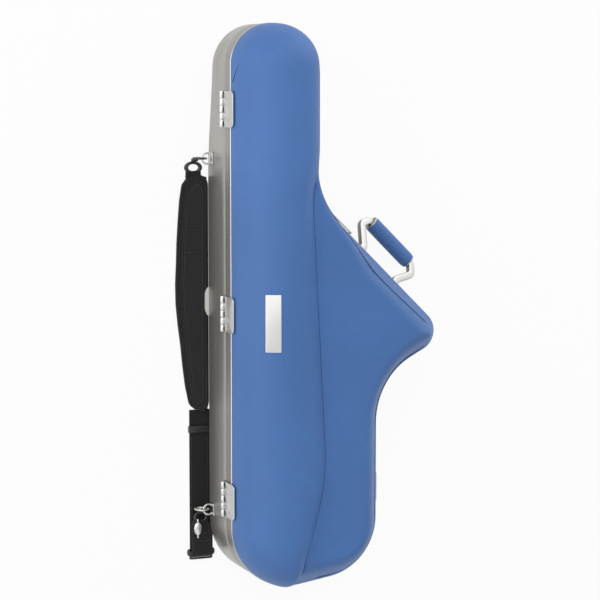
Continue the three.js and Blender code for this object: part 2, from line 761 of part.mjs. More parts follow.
function makeWebbing() {
  const half = webWidth / 2;
  const turn = Array.from({ length: 9 }, (_, k) => {
    const angle = Math.PI / 2 + (k * Math.PI) / 8;
    return new THREE.Vector2(webEndY + webTurnRadius * Math.cos(angle),
      webLevel + webTurnRadius * (1 - Math.sin(angle)));
  });
  const path = [
    new THREE.Vector2(padBottom - touchGap, webLevel),
    ...turn,
    new THREE.Vector2(webReturnY, returnLevel),
  ];
  const section = [
    new THREE.Vector2(-webThickness / 2, -half),
    new THREE.Vector2(webThickness / 2, -half),
    new THREE.Vector2(webThickness / 2, half),
    new THREE.Vector2(-webThickness / 2, half),
  ];
  const web = sweep(path, section);
  web.rotateZ(Math.PI / 2);
  web.translate(webCentre, 0, 0);
  place('strap_webbing', web, blackNylon);
  const bar = rodAlongX(endBarRadius, webCentre - endBarLength / 2, webCentre + endBarLength / 2, webEndY,
    webLevel + webTurnRadius);
  place('strap_end_bar', bar, blackMetal);
  const frameHalf = half + touchGap + sliderSide;
  const frame = block(webCentre - frameHalf, webCentre + frameHalf, sliderY - sliderLength / 2,
    sliderY + sliderLength / 2, 0, sliderTop);
  const slot = block(webCentre - half - touchGap, webCentre + half + touchGap, sliderY - sliderLength,
    sliderY + sliderLength, webLift - touchGap, webLift + webThickness + touchGap);
  place('strap_slider', cut(frame, slot), blackMetal);
}

// Clip at one end: wall plate with its staple, hook through the staple, ring and sewn tab
function makeClip(name, anchorY, ringX, ringZ) {
  const wall = hingeX - touchGap;
  const plate = block(wall - anchorPlate, wall, anchorY - anchorWidth / 2, anchorY + anchorWidth / 2,
    stapleHeight - anchorHeight / 2, stapleHeight + anchorHeight / 2);
  const staple = new THREE.TorusGeometry(stapleRadius, stapleWire, 8, 20);
  staple.translate(wall - anchorPlate - stapleOut, anchorY, stapleHeight);
  const behind = block(wall, wall + stapleRadius + cutOverrun, anchorY - anchorWidth, anchorY + anchorWidth,
    0, baseDepth);
  place(`${name}_anchor`, cut(join(plate, staple), behind), silver);

  const hookX = hingeX - hookOut;
  const hookZ = stapleHeight - hookDrop;
  const loop = new THREE.TorusGeometry(hookHalfWidth, hookWire, 8, 20);
  loop.rotateX(Math.PI / 2);
  loop.scale(1, 1, hookHalfHeight / hookHalfWidth);
  loop.translate(hookX, anchorY, hookZ);
  const loopLow = hookZ - hookHalfHeight;
  const shank = block(Math.min(ringX, hookX) - shankHalf, hookX + shankHalf, anchorY - shankLength, anchorY,
    Math.min(ringZ, loopLow) - shankHalf, Math.max(ringZ, loopLow) + shankHalf);
  place(`${name}_hook`, join(loop, shank), silver);

  const ringY = anchorY - shankLength - touchGap - ringWire - ringRadius;
  const ring = new THREE.TorusGeometry(ringRadius, ringWire, 8, 20);
  ring.translate(ringX, ringY, ringZ);
  place(`${name}_ring`, ring, blackMetal);
  const hollow = new THREE.TorusGeometry(ringRadius, ringWire + touchGap, 8, 20);
  hollow.translate(ringX, ringY, ringZ);
  const wireY = ringY - ringRadius;
  const tab = block(ringX - tabWidth / 2, ringX + tabWidth / 2, wireY - tabLength / 2, wireY + tabLength / 2,
    ringZ - tabThickness / 2, ringZ + tabThickness / 2);
  place(`${name}_tab`, cut(tab, hollow), blackNylon);
}

makeBase();
makeLid();
[topY - hingeTopDrop, hingeMiddleY, bottomY + hingeBottomRise].forEach((y, i) =>
  makeHinge(['hinge_top', 'hinge_middle', 'hinge_low'][i], y));
makeLatch('latch_neck', neckX, topY - neckLatchDrop, -Math.PI / 2);
makeLatch('latch_bow', wallX, bottomY + bowLatchRise, -Math.PI / 2);
makeLatch('latch_bell', neckX + bellLatchAlong * Math.cos(slopeAngle),
  shoulderY + bellLatchAlong * Math.sin(slopeAngle), slopeAngle);
makeHandle();
makePlate();
makeBumper();
makePad();
makeWebbing();
makeClip('strap_top', topAnchorY, topRingX, topRingZ);
makeClip('strap_low', lowAnchorY, lowRingX, returnLevel);

export default saxCase;
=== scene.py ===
"""Tenor saxophone case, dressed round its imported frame.

The lid is a leather-covered dome on an aluminium rim, hinged to a deep aluminium tray with three butt hinges and
held shut by three draw latches. Lengths inside the functions are millimetres in the frame of the CAD; meshes
are metres.
"""
import json
from math import atan2, ceil, copysign, cos, degrees, exp, pi, radians, sin, tan

import bpy
import numpy as np
from mathutils import Matrix, Vector
from mathutils.geometry import delaunay_2d_cdt

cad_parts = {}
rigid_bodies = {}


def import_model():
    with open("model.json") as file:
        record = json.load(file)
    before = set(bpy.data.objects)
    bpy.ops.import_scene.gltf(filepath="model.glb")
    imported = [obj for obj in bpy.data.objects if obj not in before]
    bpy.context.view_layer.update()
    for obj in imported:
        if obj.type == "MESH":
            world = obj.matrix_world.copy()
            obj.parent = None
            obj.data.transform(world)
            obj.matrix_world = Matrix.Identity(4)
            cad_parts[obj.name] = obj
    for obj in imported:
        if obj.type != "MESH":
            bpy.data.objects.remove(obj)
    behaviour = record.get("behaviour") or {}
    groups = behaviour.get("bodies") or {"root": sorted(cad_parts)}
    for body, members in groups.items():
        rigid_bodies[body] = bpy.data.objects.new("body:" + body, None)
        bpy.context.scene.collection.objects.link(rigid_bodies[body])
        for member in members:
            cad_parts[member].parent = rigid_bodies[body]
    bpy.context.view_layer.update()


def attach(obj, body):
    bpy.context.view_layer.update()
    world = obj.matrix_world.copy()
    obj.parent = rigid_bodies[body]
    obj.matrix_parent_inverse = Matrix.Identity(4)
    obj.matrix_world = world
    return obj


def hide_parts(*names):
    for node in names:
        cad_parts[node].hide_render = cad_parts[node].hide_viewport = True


for leftover in list(bpy.data.objects):
    bpy.data.objects.remove(leftover)
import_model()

bl_info = {
    "name": "Tenor Saxophone Case",
    "version": (1, 0, 0),
    "blender": (4, 5, 0),
    "location": "View3D > Sidebar > Sax Case",
    "description": "Dresses the packed saxophone case with leather, brushed metal, hardware and strap",
    "category": "Object",
}

MM = 0.001

# The outline of the case and of its raised crown: corners with their radii, seen from the lid
CASE = ((-68, -440.5, 95), (168, -405.5, 90), (168, -113.5, 110), (287, -50.5, 32), (62, 170.4, 100),
        (62, 427.5, 63), (-68, 427.5, 63))
CROWN = ((-68, -405.4, 95), (21.05, -426.6, 18), (72, -270, 90), (77, -225.5, 120), (50, 170.4, 130),
         (62, 227.4, 60), (62, 427.5, 63), (-68, 427.5, 63))
SPINE = (-347.5, 362.5)
FULLNESS = 2.3
SIDE_CLIMB, SHOULDER_CLIMB = 1.84, 3.2
BELL_SOFT, CREASE_SOFT = 22.0, 5.0

# Levels, from the flat back upwards
BASE_TOP = 88.0
BAND_LOW = 88.4
LID_LOW = 114.3
CROWN_RISE = 84.0
BELL_RISE = 58.0
BACK_ROUND = 15.0
NECK_ROUND = 28.0
SHELL_WALL = 3.0
LINER_OUT = 3.4
FOAM = 12.0

# The slope above the bell, where the handle and one latch sit
SLOPE_START = Vector((62.0, 170.4, 0.0))
SLOPE_ANGLE = atan2(-50.5 - 170.4, 287 - 62)


# Outlines and heights

def corner_runs(corners, inset):
    """The arc round each corner as centre, radius, start angle and turn, drawn in by an inset."""
    runs = []
    for i, (x, y, r) in enumerate(corners):
        before = corners[i - 1]
        after = corners[(i + 1) % len(corners)]
        into = Vector((x - before[0], y - before[1])).normalized()
        out = Vector((after[0] - x, after[1] - y)).normalized()
        turn = atan2(into.x * out.y - into.y * out.x, into.dot(out))
        side = copysign(1, turn)
        radius = max(r - side * inset, 0.6)
        along = inset * tan(turn / 2) + radius * tan(abs(turn) / 2)
        centre = Vector((x, y)) - into * along + Vector((-into.y, into.x)) * (inset + radius * side)
        runs.append((centre, radius, atan2(-into.x * side, into.y * side), turn))
    return runs


def arc_points(run, steps):
    """Points along one of the arcs."""
    centre, radius, start, turn = run
    angles = [start + turn * k / steps for k in range(steps + 1)]
    return [(centre.x + radius * cos(a), centre.y + radius * sin(a)) for a in angles]


def outline(corners, inset=0.0, step=3.0, pitch=6.0):
    """The closed outline, counter-clockwise, with the same count of points at every inset."""
    plain = corner_runs(corners, 0.0)
    moved = corner_runs(corners, inset)
    steps = [max(1, ceil(abs(degrees(run[3])) / step)) for run in plain]
    arcs = [arc_points(run, n) for run, n in zip(moved, steps)]
    firm = [arc_points(run, n) for run, n in zip(plain, steps)]
    points = []
    for i, arc in enumerate(arcs):
        points += arc
        following = (i + 1) % len(arcs)
        start, end = Vector(arc[-1]), Vector(arcs[following][0])
        length = (Vector(firm[following][0]) - Vector(firm[i][-1])).length
        count = max(1, round(length / pitch))
        points += [tuple(start.lerp(end, k / count)) for k in range(1, count)]
    return np.array(points)


def edge_distance(points, ring):
    """How far each point is from a closed outline."""
    best = np.full(len(points), np.inf)
    for start, end in zip(ring, np.roll(ring, -1, axis=0)):
        run = end - start
        share = np.clip(((points - start) @ run) / max(run @ run, 1e-9), 0, 1)
        best = np.minimum(best, np.hypot(*(points - start - share[:, None] * run).T))
    return best


def crown_share(points, depth):
    """Share of the way from the crown's outline to its spine, below zero outside the outline."""
    ring = outline(CROWN, depth)
    x, y = points.T
    share = np.empty(len(points))
    for level, side in zip(SPINE, (-1, 1)):
        beyond = (ring[:, 1] - level) * side >= -3
        angle = np.arctan2(ring[beyond, 0], (ring[beyond, 1] - level) * side)
        reach = np.hypot(ring[beyond, 0], ring[beyond, 1] - level)
        order = np.argsort(angle)
        zone = (y - level) * side > 0
        here = np.arctan2(x[zone], (y[zone] - level) * side)
        far = np.interp(here, angle[order], reach[order])
        share[zone] = 1 - np.hypot(x[zone], y[zone] - level) / far
    middle = (y >= SPINE[0]) & (y <= SPINE[1])
    for side in (-1, 1):
        wall = (ring[:, 0] * side > 0) & (ring[:, 1] > SPINE[0] - 12) & (ring[:, 1] < SPINE[1] + 12)
        order = np.argsort(ring[wall, 1])
        zone = middle & (x * side >= 0)
        far = np.interp(y[zone], ring[wall, 1][order], np.abs(ring[wall, 0][order]))
        share[zone] = 1 - np.abs(x[zone]) / far
    return share


def crown_level(share, depth):
    """Height of the crown, and far below where there is none."""
    inside = np.clip(share, 0, 1)
    rise = (CROWN_RISE - depth) * (1 - (1 - inside) ** FULLNESS) ** (1 / FULLNESS)
    return np.where(share > 0, LID_LOW + rise, -1000.0)


def ease(value, low, high):
    """A share that starts and ends gently."""
    share = np.clip((value - low) / (high - low), 0, 1)
    return share * share * (3 - 2 * share)


def side_rate(points):
    """How steeply the lid's side climbs: nearly upright at the shoulder, leaning back towards the bell."""
    x, y = np.asarray(points).T
    return SIDE_CLIMB + SHOULDER_CLIMB * ease(y, 50, 175) * (1 - ease(y, 200, 260)) * ease(x, 10, 45)


def bell_level(points, distance, depth):
    """Height of the lower part over the bell: a sloped side that rounds into a flat panel."""
    climb, top = side_rate(points) * distance, BELL_RISE - depth
    blend = np.clip(BELL_SOFT - np.abs(climb - top), 0, None) / BELL_SOFT
    return LID_LOW + np.minimum(climb, top) - blend ** 2 * BELL_SOFT / 4


def lid_level(points, depth=0.0):
    """Height of the lid's form over each point, with a small fillet in the crease."""
    crown = crown_level(crown_share(points, depth), depth)
    bell = bell_level(points, edge_distance(points, outline(CASE, depth)), depth)
    blend = np.clip(CREASE_SOFT - np.abs(crown - bell), 0, None) / CREASE_SOFT
    return np.maximum(crown, bell) + blend ** 2 * CREASE_SOFT / 4


# Meshes and objects

def mm(values):
    """Millimetres as metres."""
    return [MM * value for value in values]


def turns(count):
    """The angles of equal steps round a circle."""
    return [2 * pi * k / count for k in range(count)]


def piece(name, vertices, faces, angle=38.0):
    """An object from millimetre points and faces."""
    mesh = bpy.data.meshes.new(name)
    mesh.from_pydata([mm(v) for v in vertices], [], faces)
    mesh.validate()
    made = bpy.data.objects.new(name, mesh)
    bpy.context.scene.collection.objects.link(made)
    return smooth(made, angle)


def take(*objects):
    """Selects these objects only, the first of them active."""
    bpy.ops.object.select_all(action="DESELECT")
    for each in objects:
        each.select_set(True)
    bpy.context.view_layer.objects.active = objects[0]


def smooth(made, angle=38.0):
    """Shades a piece smooth, but for edges sharper than an angle."""
    take(made)
    bpy.ops.object.shade_smooth_by_angle(angle=radians(angle))
    return made


def modify(made, kind, **settings):
    """Adds a modifier with its settings and applies it."""
    modifier = made.modifiers.new(kind.title(), kind)
    for key, value in settings.items():
        setattr(modifier, key, value)
    take(made)
    bpy.ops.object.modifier_apply(modifier=modifier.name)
    return made


def soften(made, width, angle=50, segments=2):
    """Rounds the edges that are sharper than an angle."""
    return modify(made, "BEVEL", width=width * MM, segments=segments, limit_method="ANGLE",
                  angle_limit=radians(angle))


def settle(made, matrix=None):
    """Puts an object's place into its mesh, after moving it by a matrix."""
    if matrix is not None:
        made.matrix_world = matrix @ made.matrix_world
    take(made)
    bpy.ops.object.transform_apply(location=True, rotation=True, scale=True)
    return made


def edit(made, step, **settings):
    """Runs one mesh operator on the whole of a piece."""
    take(made)
    bpy.ops.object.mode_set(mode="EDIT")
    bpy.ops.mesh.select_all(action="SELECT")
    step(**settings)
    bpy.ops.object.mode_set(mode="OBJECT")
    return made


def outward(made):
    """Turns every face outwards."""
    return edit(made, bpy.ops.mesh.normals_make_consistent, inside=False)


def dress(made, body, look, *nodes, slot=None):
    """Gives a piece its body and finish, and hides the nodes that it stands for. The slot is not used."""
    made.data.materials.clear()
    made.data.materials.append(finish(look))
    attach(made, body)
    if nodes:
        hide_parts(*nodes)
    return made


def second_finish(made, look, chosen):
    """Gives a second finish to the faces that a test chooses."""
    made.data.materials.append(finish(look))
    for face in made.data.polygons:
        face.material_index = int(chosen(face))


def ring_skin(rings, wrapped=False, capped=False):
    """Faces over a row of closed rings of equal count."""
    count = len(rings[0])
    vertices = [tuple(p) for ring in rings for p in ring]
    faces = []
    for k in range(len(rings) if wrapped else len(rings) - 1):
        low, high = k * count, (k + 1) % len(rings) * count
        for i in range(count):
            j = (i + 1) % count
            faces.append((low + i, low + j, high + j, high + i))
    if capped:
        faces += [tuple(reversed(range(count))), tuple(range(len(vertices) - count, len(vertices)))]
    return vertices, faces


def level_rings(corners, levels):
    """Rings of an outline at pairs of inset and height."""
    flats = [(outline(corners, inset), z) for inset, z in levels]
    return [np.column_stack([flat, np.full(len(flat), z)]) for flat, z in flats]


# Materials

class Number:
    """A number in a shader: the usual signs add Math nodes."""

    def __init__(self, nodes, socket):
        self.nodes = nodes
        self.socket = socket

    def sign(self, operation, other):
        made = self.nodes.node("Math", {0: self, 1: other}, operation=operation)
        return Number(self.nodes, made.outputs[0])

    def __add__(self, other):
        return self.sign("ADD", other)

    def __mul__(self, other):
        return self.sign("MULTIPLY", other)

    __radd__, __rmul__ = __add__, __mul__


class Nodes:
    """A node tree with a short way to add to it."""

    def __init__(self, tree):
        self.tree = tree

    def node(self, kind, inputs=None, **settings):
        """Adds a node: its settings first, then the values or links of its sockets."""
        made = self.tree.nodes.new("ShaderNode" + kind)
        for key, value in settings.items():
            setattr(made, key, value)
        for key, value in (inputs or {}).items():
            self.give(made.inputs[key], value)
        return made

    def give(self, socket, value):
        """Links a socket to a number or another socket, or sets its value."""
        value = value.socket if isinstance(value, Number) else value
        if isinstance(value, bpy.types.NodeSocket):
            self.tree.links.new(value, socket)
        else:
            socket.default_value = value

    def span(self, value, low, high, to_low=0.0, to_high=1.0, kind="SMOOTHSTEP"):
        """A number carried from one span to another."""
        made = self.node("MapRange", {"Value": value, "From Min": low, "From Max": high, "To Min": to_low,
                                      "To Max": to_high}, interpolation_type=kind)
        return Number(self, made.outputs[0])


class Finish(Nodes):
    """A procedural material in the making."""

    def __init__(self, name, **constants):
        self.material = bpy.data.materials.new(name)
        self.material.use_nodes = True
        super().__init__(self.material.node_tree)
        self.shader = self.tree.nodes["Principled BSDF"]
        for key, value in constants.items():
            self.shader.inputs[key.replace("_", " ").title().replace("Ior", "IOR")].default_value = value

    def spot(self, scale=(1, 1, 1)):
        """Object coordinates, scaled."""
        start = self.node("TexCoord").outputs["Object"]
        return self.node("Mapping", {"Vector": start, "Scale": scale}).outputs[0]

    def noise(self, scale, detail=2.0, rough=0.5, stretch=(1, 1, 1)):
        """A number that wanders over the object."""
        made = self.node("TexNoise", {"Vector": self.spot(stretch), "Scale": scale, "Detail": detail,
                                      "Roughness": rough})
        return Number(self, made.outputs[0])

    def mix(self, factor, first, second):
        """One colour or the other by a factor."""
        return self.node("Mix", {"Factor": factor, 6: first, 7: second}, data_type="RGBA").outputs[2]

    def tones(self, factor, colour, low, high):
        """A colour between two of its shares, by a factor."""
        return self.mix(factor, shade(colour, low), shade(colour, high))

    def finished(self, tone, rough, height, distance, strength=0.5):
        """The material, with its tone, roughness and bump linked up."""
        relief = self.node("Bump", {"Height": height, "Distance": distance, "Strength": strength})
        for key, value in (("Base Color", tone), ("Roughness", rough), ("Normal", relief.outputs[0])):
            self.give(self.shader.inputs[key], value)
        return self.material


def shade(colour, share):
    """A share of a colour."""
    return (colour[0] * share, colour[1] * share, colour[2] * share, 1.0)


def leather_finish(name, colour):
    """Fine-grained blue leather with a soft sheen."""
    made = Finish(name, specular_ior_level=0.4)
    cells = made.node("TexVoronoi", {"Vector": made.spot(), "Scale": 620.0}, feature="DISTANCE_TO_EDGE")
    grain = made.span(cells.outputs["Distance"], 0.0, 0.28)
    fine, broad, wear = made.noise(2400.0, 3.0), made.noise(7.0, 3.0), made.noise(46.0, 4.0)
    depth = made.tones(grain, colour, 0.86, 1.03)
    tone = made.mix(made.span(broad, 0.3, 0.7), depth, made.mix(wear, depth, shade(colour, 1.12)))
    return made.finished(tone, 0.42 + 0.12 * wear + 0.1 * broad, grain + 0.35 * fine, 0.00022)


def brushed_finish(name, colour, streak=0.16):
    """Aluminium brushed along the case, with soft darker bands of painted reflection."""
    made = Finish(name, metallic=0.72)
    hair = made.noise(1.0, 4.0, 0.7, (900, 9, 900))
    # Broad soft bands pull the colour towards 0.6 of itself: a painted reflection along the metal.
    band = made.noise(1.0, 2.0, 0.5, (34, 1.6, 34))
    tone = made.tones(made.span(hair, 0.25, 0.75), colour, 1 - streak, 1 + streak)
    tone = made.mix(made.span(band, 0.35, 0.65), tone, made.mix(0.35, tone, shade(colour, 0.6)))
    return made.finished(tone, 0.26 + 0.16 * hair + 0.06 * band, hair, 0.00004, 0.6)


def bright_finish(name, colour, rough=0.3):
    """Satin nickel on the small hardware."""
    made = Finish(name, metallic=1.0)
    smear, pits = made.noise(26.0), made.noise(1500.0)
    tone = made.tones(smear, colour, 0.94, 1.04)
    return made.finished(tone, rough - 0.03 + 0.06 * smear + 0.02 * pits, pits, 0.00002)


def woven_finish(name, colour, ribs, rough=0.8):
    """Woven nylon: crossed ribs with a dull sheen."""
    made = Finish(name, sheen_weight=0.25, sheen_roughness=0.5, specular_ior_level=0.25)
    waves = [made.node("TexWave", {"Vector": made.spot(), "Scale": scale}, bands_direction=way).outputs["Fac"]
             for way, scale in (("X", ribs), ("Y", ribs * 0.8))]
    weave = Number(made, waves[0]) * Number(made, waves[1])
    fluff, dust = made.noise(900.0, 3.0), made.noise(24.0, 4.0)
    tone = made.tones(made.span(weave + 0.4 * dust, 0.1, 0.9), colour, 0.55, 1.5)
    return made.finished(tone, rough - 0.08 + 0.14 * dust, weave + 0.3 * fluff, 0.00035, 0.7)


def plush_finish(name, colour):
    """Short plush over foam."""
    made = Finish(name, sheen_weight=0.6, sheen_roughness=0.4, specular_ior_level=0.1)
    pile, brushed = made.noise(1300.0, 3.0, 0.7), made.noise(18.0, 3.0)
    tone = made.mix(made.span(brushed, 0.3, 0.7), made.tones(pile, colour, 0.6, 1.5), shade(colour, 0.9))
    return made.finished(tone, 0.95, pile, 0.0005, 0.6)


def moulded_finish(name, colour, rough=0.5):
    """Moulded plastic or rubber with a fine texture."""
    made = Finish(name)
    texture, cloud = made.noise(1100.0, 3.0), made.noise(22.0, 3.0)
    tone = made.tones(cloud, colour, 0.92, 1.06)
    return made.finished(tone, rough - 0.06 + 0.14 * cloud, texture, 0.00005)


def painted_finish(name, colour):
    """Black lacquered metal."""
    made = Finish(name, metallic=0.2, coat_weight=0.3, coat_roughness=0.15)
    cloud = made.noise(120.0, 4.0)
    tone = made.tones(made.span(cloud, 0.45, 0.75), colour, 1.0, 2.2)
    return made.finished(tone, 0.24 + 0.2 * cloud, made.noise(900.0), 0.00003)


def thread_finish(name, colour):
    """Twisted sewing thread."""
    made = Finish(name, sheen_weight=0.3, specular_ior_level=0.3)
    twist = made.noise(1600.0)
    return made.finished(made.tones(twist, colour, 0.85, 1.1), 0.6, twist, 0.00008, 0.6)


# Each finish: its maker, its slot, the material's name, its colour in the panel, a share of it and its own numbers
FINISHES = {
    "leather": (leather_finish, "blue_leather", "blue_leather", "leather", 1),
    "grip": (leather_finish, "blue_leather", "grip_leather", "leather", 1),
    "brushed": (brushed_finish, "brushed_frame", "brushed_shell", "shell", 1),
    "band": (brushed_finish, "brushed_frame", "brushed_band", "band", 1),
    "bead": (bright_finish, "brushed_frame", "polished_bead", "bright", 1, 0.26),
    "bright": (bright_finish, "bright_metal", "satin_nickel", "bright", 1),
    "silver": (bright_finish, "bright_metal", "polished_silver", "bright", 0.88, 0.42),
    # The darker silver for the handle bow's faces turned towards -X is painted shade.
    "silver_side": (bright_finish, "bright_metal", "silver_sides", "bright", 0.5, 0.42),
    # The near-black finish in the hinge slots is a painted shadow.
    "gap": (bright_finish, "bright_metal", "dark_steel", "bright", 0.06, 0.4),
    "plate": (bright_finish, "bright_metal", "plate_silver", "bright", 0.92, 0.46),
    "nylon": (woven_finish, "black_nylon", "black_nylon", "nylon", 0.4, 300.0),
    "pad": (woven_finish, "black_nylon", "strap_cover", "nylon", 1, 420.0, 0.9),
    "black_metal": (painted_finish, "black_metal", "black_metal", "black_metal", 1),
    "plush": (plush_finish, "lining", "plush_lining", "lining", 1),
    "foam": (plush_finish, "lining", "foam_blocks", "foam", 1),
    "rubber": (moulded_finish, "seal", "rim_rubber", "rubber", 1, 0.7),
    "bumper": (moulded_finish, "bumper", "bumper_plastic", "bumper", 1, 0.45),
    "thread": (thread_finish, "blue_leather", "seam_thread", "thread", 1),
    # The seam piping is a real cord; its colour, lighter than the leather, is a painted highlight.
    "piping": (thread_finish, "blue_leather", "seam_piping", "leather", 1.5),
    # The dark cords beside the seam and in the crease are painted shadow of the seam's groove and the crease.
    "fold": (thread_finish, "blue_leather", "seam_fold", "leather", 0.2),
    "crease": (thread_finish, "blue_leather", "crease_shadow", "leather", 0.42),
    "black_thread": (thread_finish, "black_nylon", "black_thread", "nylon", 2.2),
}


finishes = {}


def finish(look):
    """A named material, made once from the colours in the panel."""
    if look not in finishes:
        maker, _, name, key, share, *numbers = FINISHES[look]
        colour = getattr(bpy.context.scene.case_finishes, key)
        finishes[look] = maker(name, [share * part for part in colour], *numbers)
    return finishes[look]


# The user's sizes and colours

def colour_choice(name, description, default):
    """A colour in the panel."""
    return bpy.props.FloatVectorProperty(name=name, description=description, subtype="COLOR", size=3, min=0, max=1,
                                         default=default)


def length_choice(name, description, default, least):
    """A length in the panel."""
    return bpy.props.FloatProperty(name=name, description=description, default=default, min=least, unit="LENGTH")


class CaseFinishes(bpy.types.PropertyGroup):
    """Colours of the finishes"""
    leather: colour_choice("Leather", "Colour of the covered lid and of the handle's grip", (0.062, 0.166, 0.435))
    shell: colour_choice("Shell", "Colour of the brushed tray", (0.40, 0.385, 0.36))
    band: colour_choice("Band", "Colour of the lid's brushed rim", (0.30, 0.29, 0.275))
    bright: colour_choice("Bright metal", "Colour of hinges, latches, handle and plate", (0.56, 0.56, 0.55))
    nylon: colour_choice("Nylon", "Colour of the strap", (0.018, 0.018, 0.019))
    black_metal: colour_choice("Black metal", "Colour of the strap's rings and sliders", (0.012, 0.012, 0.013))
    lining: colour_choice("Lining", "Colour of the plush inside", (0.022, 0.024, 0.03))
    foam: colour_choice("Foam", "Colour of the foam blocks", (0.03, 0.032, 0.038))
    rubber: colour_choice("Rubber", "Colour of the rim seal", (0.012, 0.012, 0.013))
    bumper: colour_choice("Bumper", "Colour of the moulded corner bumper", (0.62, 0.62, 0.59))
    thread: colour_choice("Thread", "Colour of the seams' thread", (0.11, 0.24, 0.53))


class CaseSizes(bpy.types.PropertyGroup):
    """Sizes of the dressed details"""
    grid: length_choice("Lid grid", "Spacing of the points over the lid", 0.0035, 0.002)
    stitch: length_choice("Stitch", "Length of one stitch", 0.0034, 0.001)
    stitch_pitch: length_choice("Stitch pitch", "Distance from stitch to stitch", 0.005, 0.002)
    camera_distance: length_choice("Camera distance", "From the camera to the case", 3.2, 1)
    lens: bpy.props.FloatProperty(name="Lens", description="Focal length of the camera in millimetres",
                                  default=126.0, min=20)


# Stage

LOOK_LEFT, LOOK_LIFT = radians(22), radians(6)
LOOK_AT = Vector((0.052, 0.010, 0.090))
LAMPS = {"key_lamp": ((-0.9, 1.3, 2.5), 2.6, 30), "side_lamp": ((1.7, 1.8, 0.6), 1.9, 26),
         "wall_lamp": ((-2.6, 0.2, 0.9), 2.4, 30), "low_lamp": ((-0.4, -1.9, 1.9), 2.2, 6)}
LAMPS_AT = Vector((0.05, 0, 0.08))
ROOM_LIGHT, FLOOR_GLOW = 0.42, 0.92
FLOOR_SIZE, VIEW_END = 14, 50


class CASE_OT_stage(bpy.types.Operator):
    """Adds the pale floor, the soft lamps, the white world and the camera"""
    bl_idname = "sax_case.stage"
    bl_label = "Stage"

    def execute(self, context):
        sizes = context.scene.case_sizes
        toward = Vector((-sin(LOOK_LEFT) * cos(LOOK_LIFT), sin(LOOK_LIFT), cos(LOOK_LEFT) * cos(LOOK_LIFT)))
        right = Vector((cos(LOOK_LEFT), 0, sin(LOOK_LEFT)))
        bpy.ops.object.camera_add()
        camera = context.object
        camera.name = "case_camera"
        turn = Matrix((right, toward.cross(right), toward)).transposed().to_4x4()
        camera.matrix_world = Matrix.Translation(LOOK_AT + toward * sizes.camera_distance) @ turn
        camera.data.lens = sizes.lens
        camera.data.clip_end = VIEW_END
        context.scene.camera = camera

        for name, (place, size, power) in LAMPS.items():
            bpy.ops.object.light_add(type="AREA", location=place)
            lamp = context.object
            lamp.name = name
            lamp.data.energy = power
            lamp.data.size = size
            lamp.rotation_euler = (LAMPS_AT - Vector(place)).to_track_quat("-Z", "Y").to_euler()

        world = bpy.data.worlds.new("white_room")
        context.scene.world = world
        world.use_nodes = True
        sky = Nodes(world.node_tree)
        rays = sky.node("LightPath").outputs
        seen = rays["Is Camera Ray"]
        for kind in ("Is Glossy Ray", "Is Transmission Ray"):
            seen = sky.node("Math", {0: seen, 1: rays[kind]}, operation="MAXIMUM").outputs[0]
        back = sky.tree.nodes["Background"]
        sky.give(back.inputs["Strength"], sky.span(seen, 0.0, 1.0, ROOM_LIGHT, 1.0, "LINEAR"))
        sky.give(back.inputs["Color"], (1, 1, 1, 1))

        bpy.ops.mesh.primitive_plane_add(size=FLOOR_SIZE)
        floor = context.object
        floor.name = "floor"
        look = Finish("pale_floor", base_color=(0.86, 0.86, 0.86, 1), roughness=0.9)
        glow = look.node("Emission", {"Color": (1, 1, 1, 1), "Strength": 1.0})
        rays = look.node("LightPath").outputs
        seen = Number(look, rays["Is Camera Ray"]) + Number(look, rays["Is Glossy Ray"])
        blend = look.node("MixShader", {0: look.span(seen, 0, 1, 0, FLOOR_GLOW, "LINEAR"),
                                        1: look.shader.outputs[0], 2: glow.outputs[0]})
        look.give(look.tree.nodes["Material Output"].inputs["Surface"], blend.outputs[0])
        floor.data.materials.append(look.material)
        context.scene.view_settings.view_transform = "Standard"
        return {"FINISHED"}


# Base

SHELL_ROUND, LINING_TOP, LINING_ROUND = 0.8, 81.7, 4.0
SEAL_LEVELS = ((3.4, 82.0), (3.4, 86.8), (4.0, 87.8), (5.1, 88.1), (6.2, 87.8), (6.9, 86.8), (6.9, 82.0))


def back_rings(depth, steps=9):
    """Rings of the rounded back, rounder towards the neck end than elsewhere."""
    edge = outline(CASE, depth)
    inward = outline(CASE, depth + 1.0) - edge
    radius = BACK_ROUND - depth + NECK_ROUND * ease(edge[:, 1], 190, 400)
    rings = []
    for k in range(steps + 1):
        a = pi / 2 * k / steps
        flat = edge + inward * (radius * (1 - sin(a)))[:, None]
        rings.append(np.column_stack([flat, depth + radius * (1 - cos(a))]))
    return rings


def tray(name, outer, inner, height, rim):
    """An open tray between two depths of its skin, with a softened rim."""
    lip = [(outer, 68), (outer, 74), (outer, height - rim), (outer + 0.3 * rim, height - 0.3 * rim),
           (outer + rim, height), (inner - rim, height), (inner - 0.3 * rim, height - 0.3 * rim),
           (inner, height - rim), (inner, 66)]
    rings = back_rings(outer) + level_rings(CASE, lip) + back_rings(inner)[::-1]
    vertices, faces = ring_skin(rings)
    count = len(rings[0])
    edges = [(i, (i + 1) % count) for i in range(count)]
    for ring, start, way in ((rings[0], 0, -1), (rings[-1], len(vertices) - count, 1)):
        cap = delaunay_2d_cdt([Vector(p[:2]) for p in ring], edges, [], 1, 1e-6)[2]
        faces += [tuple(start + i for i in face)[::way] for face in cap]
    return piece(name, vertices, faces)


class CASE_OT_base(bpy.types.Operator):
    """Builds the brushed tray, its lining and the rim seal"""
    bl_idname = "sax_case.base"
    bl_label = "Base"

    def execute(self, context):
        dress(tray("base_tray", 0.0, SHELL_WALL, BASE_TOP, SHELL_ROUND), "base", "brushed", "base_shell")
        lining = tray("base_lining", LINER_OUT, LINER_OUT + FOAM, LINING_TOP, LINING_ROUND)
        dress(lining, "base", "plush", "base_liner")
        seal = piece("rim_gasket", *ring_skin(level_rings(CASE, SEAL_LEVELS), wrapped=True))
        dress(seal, "base", "rubber", "rim_seal")
        return {"FINISHED"}


# Lid

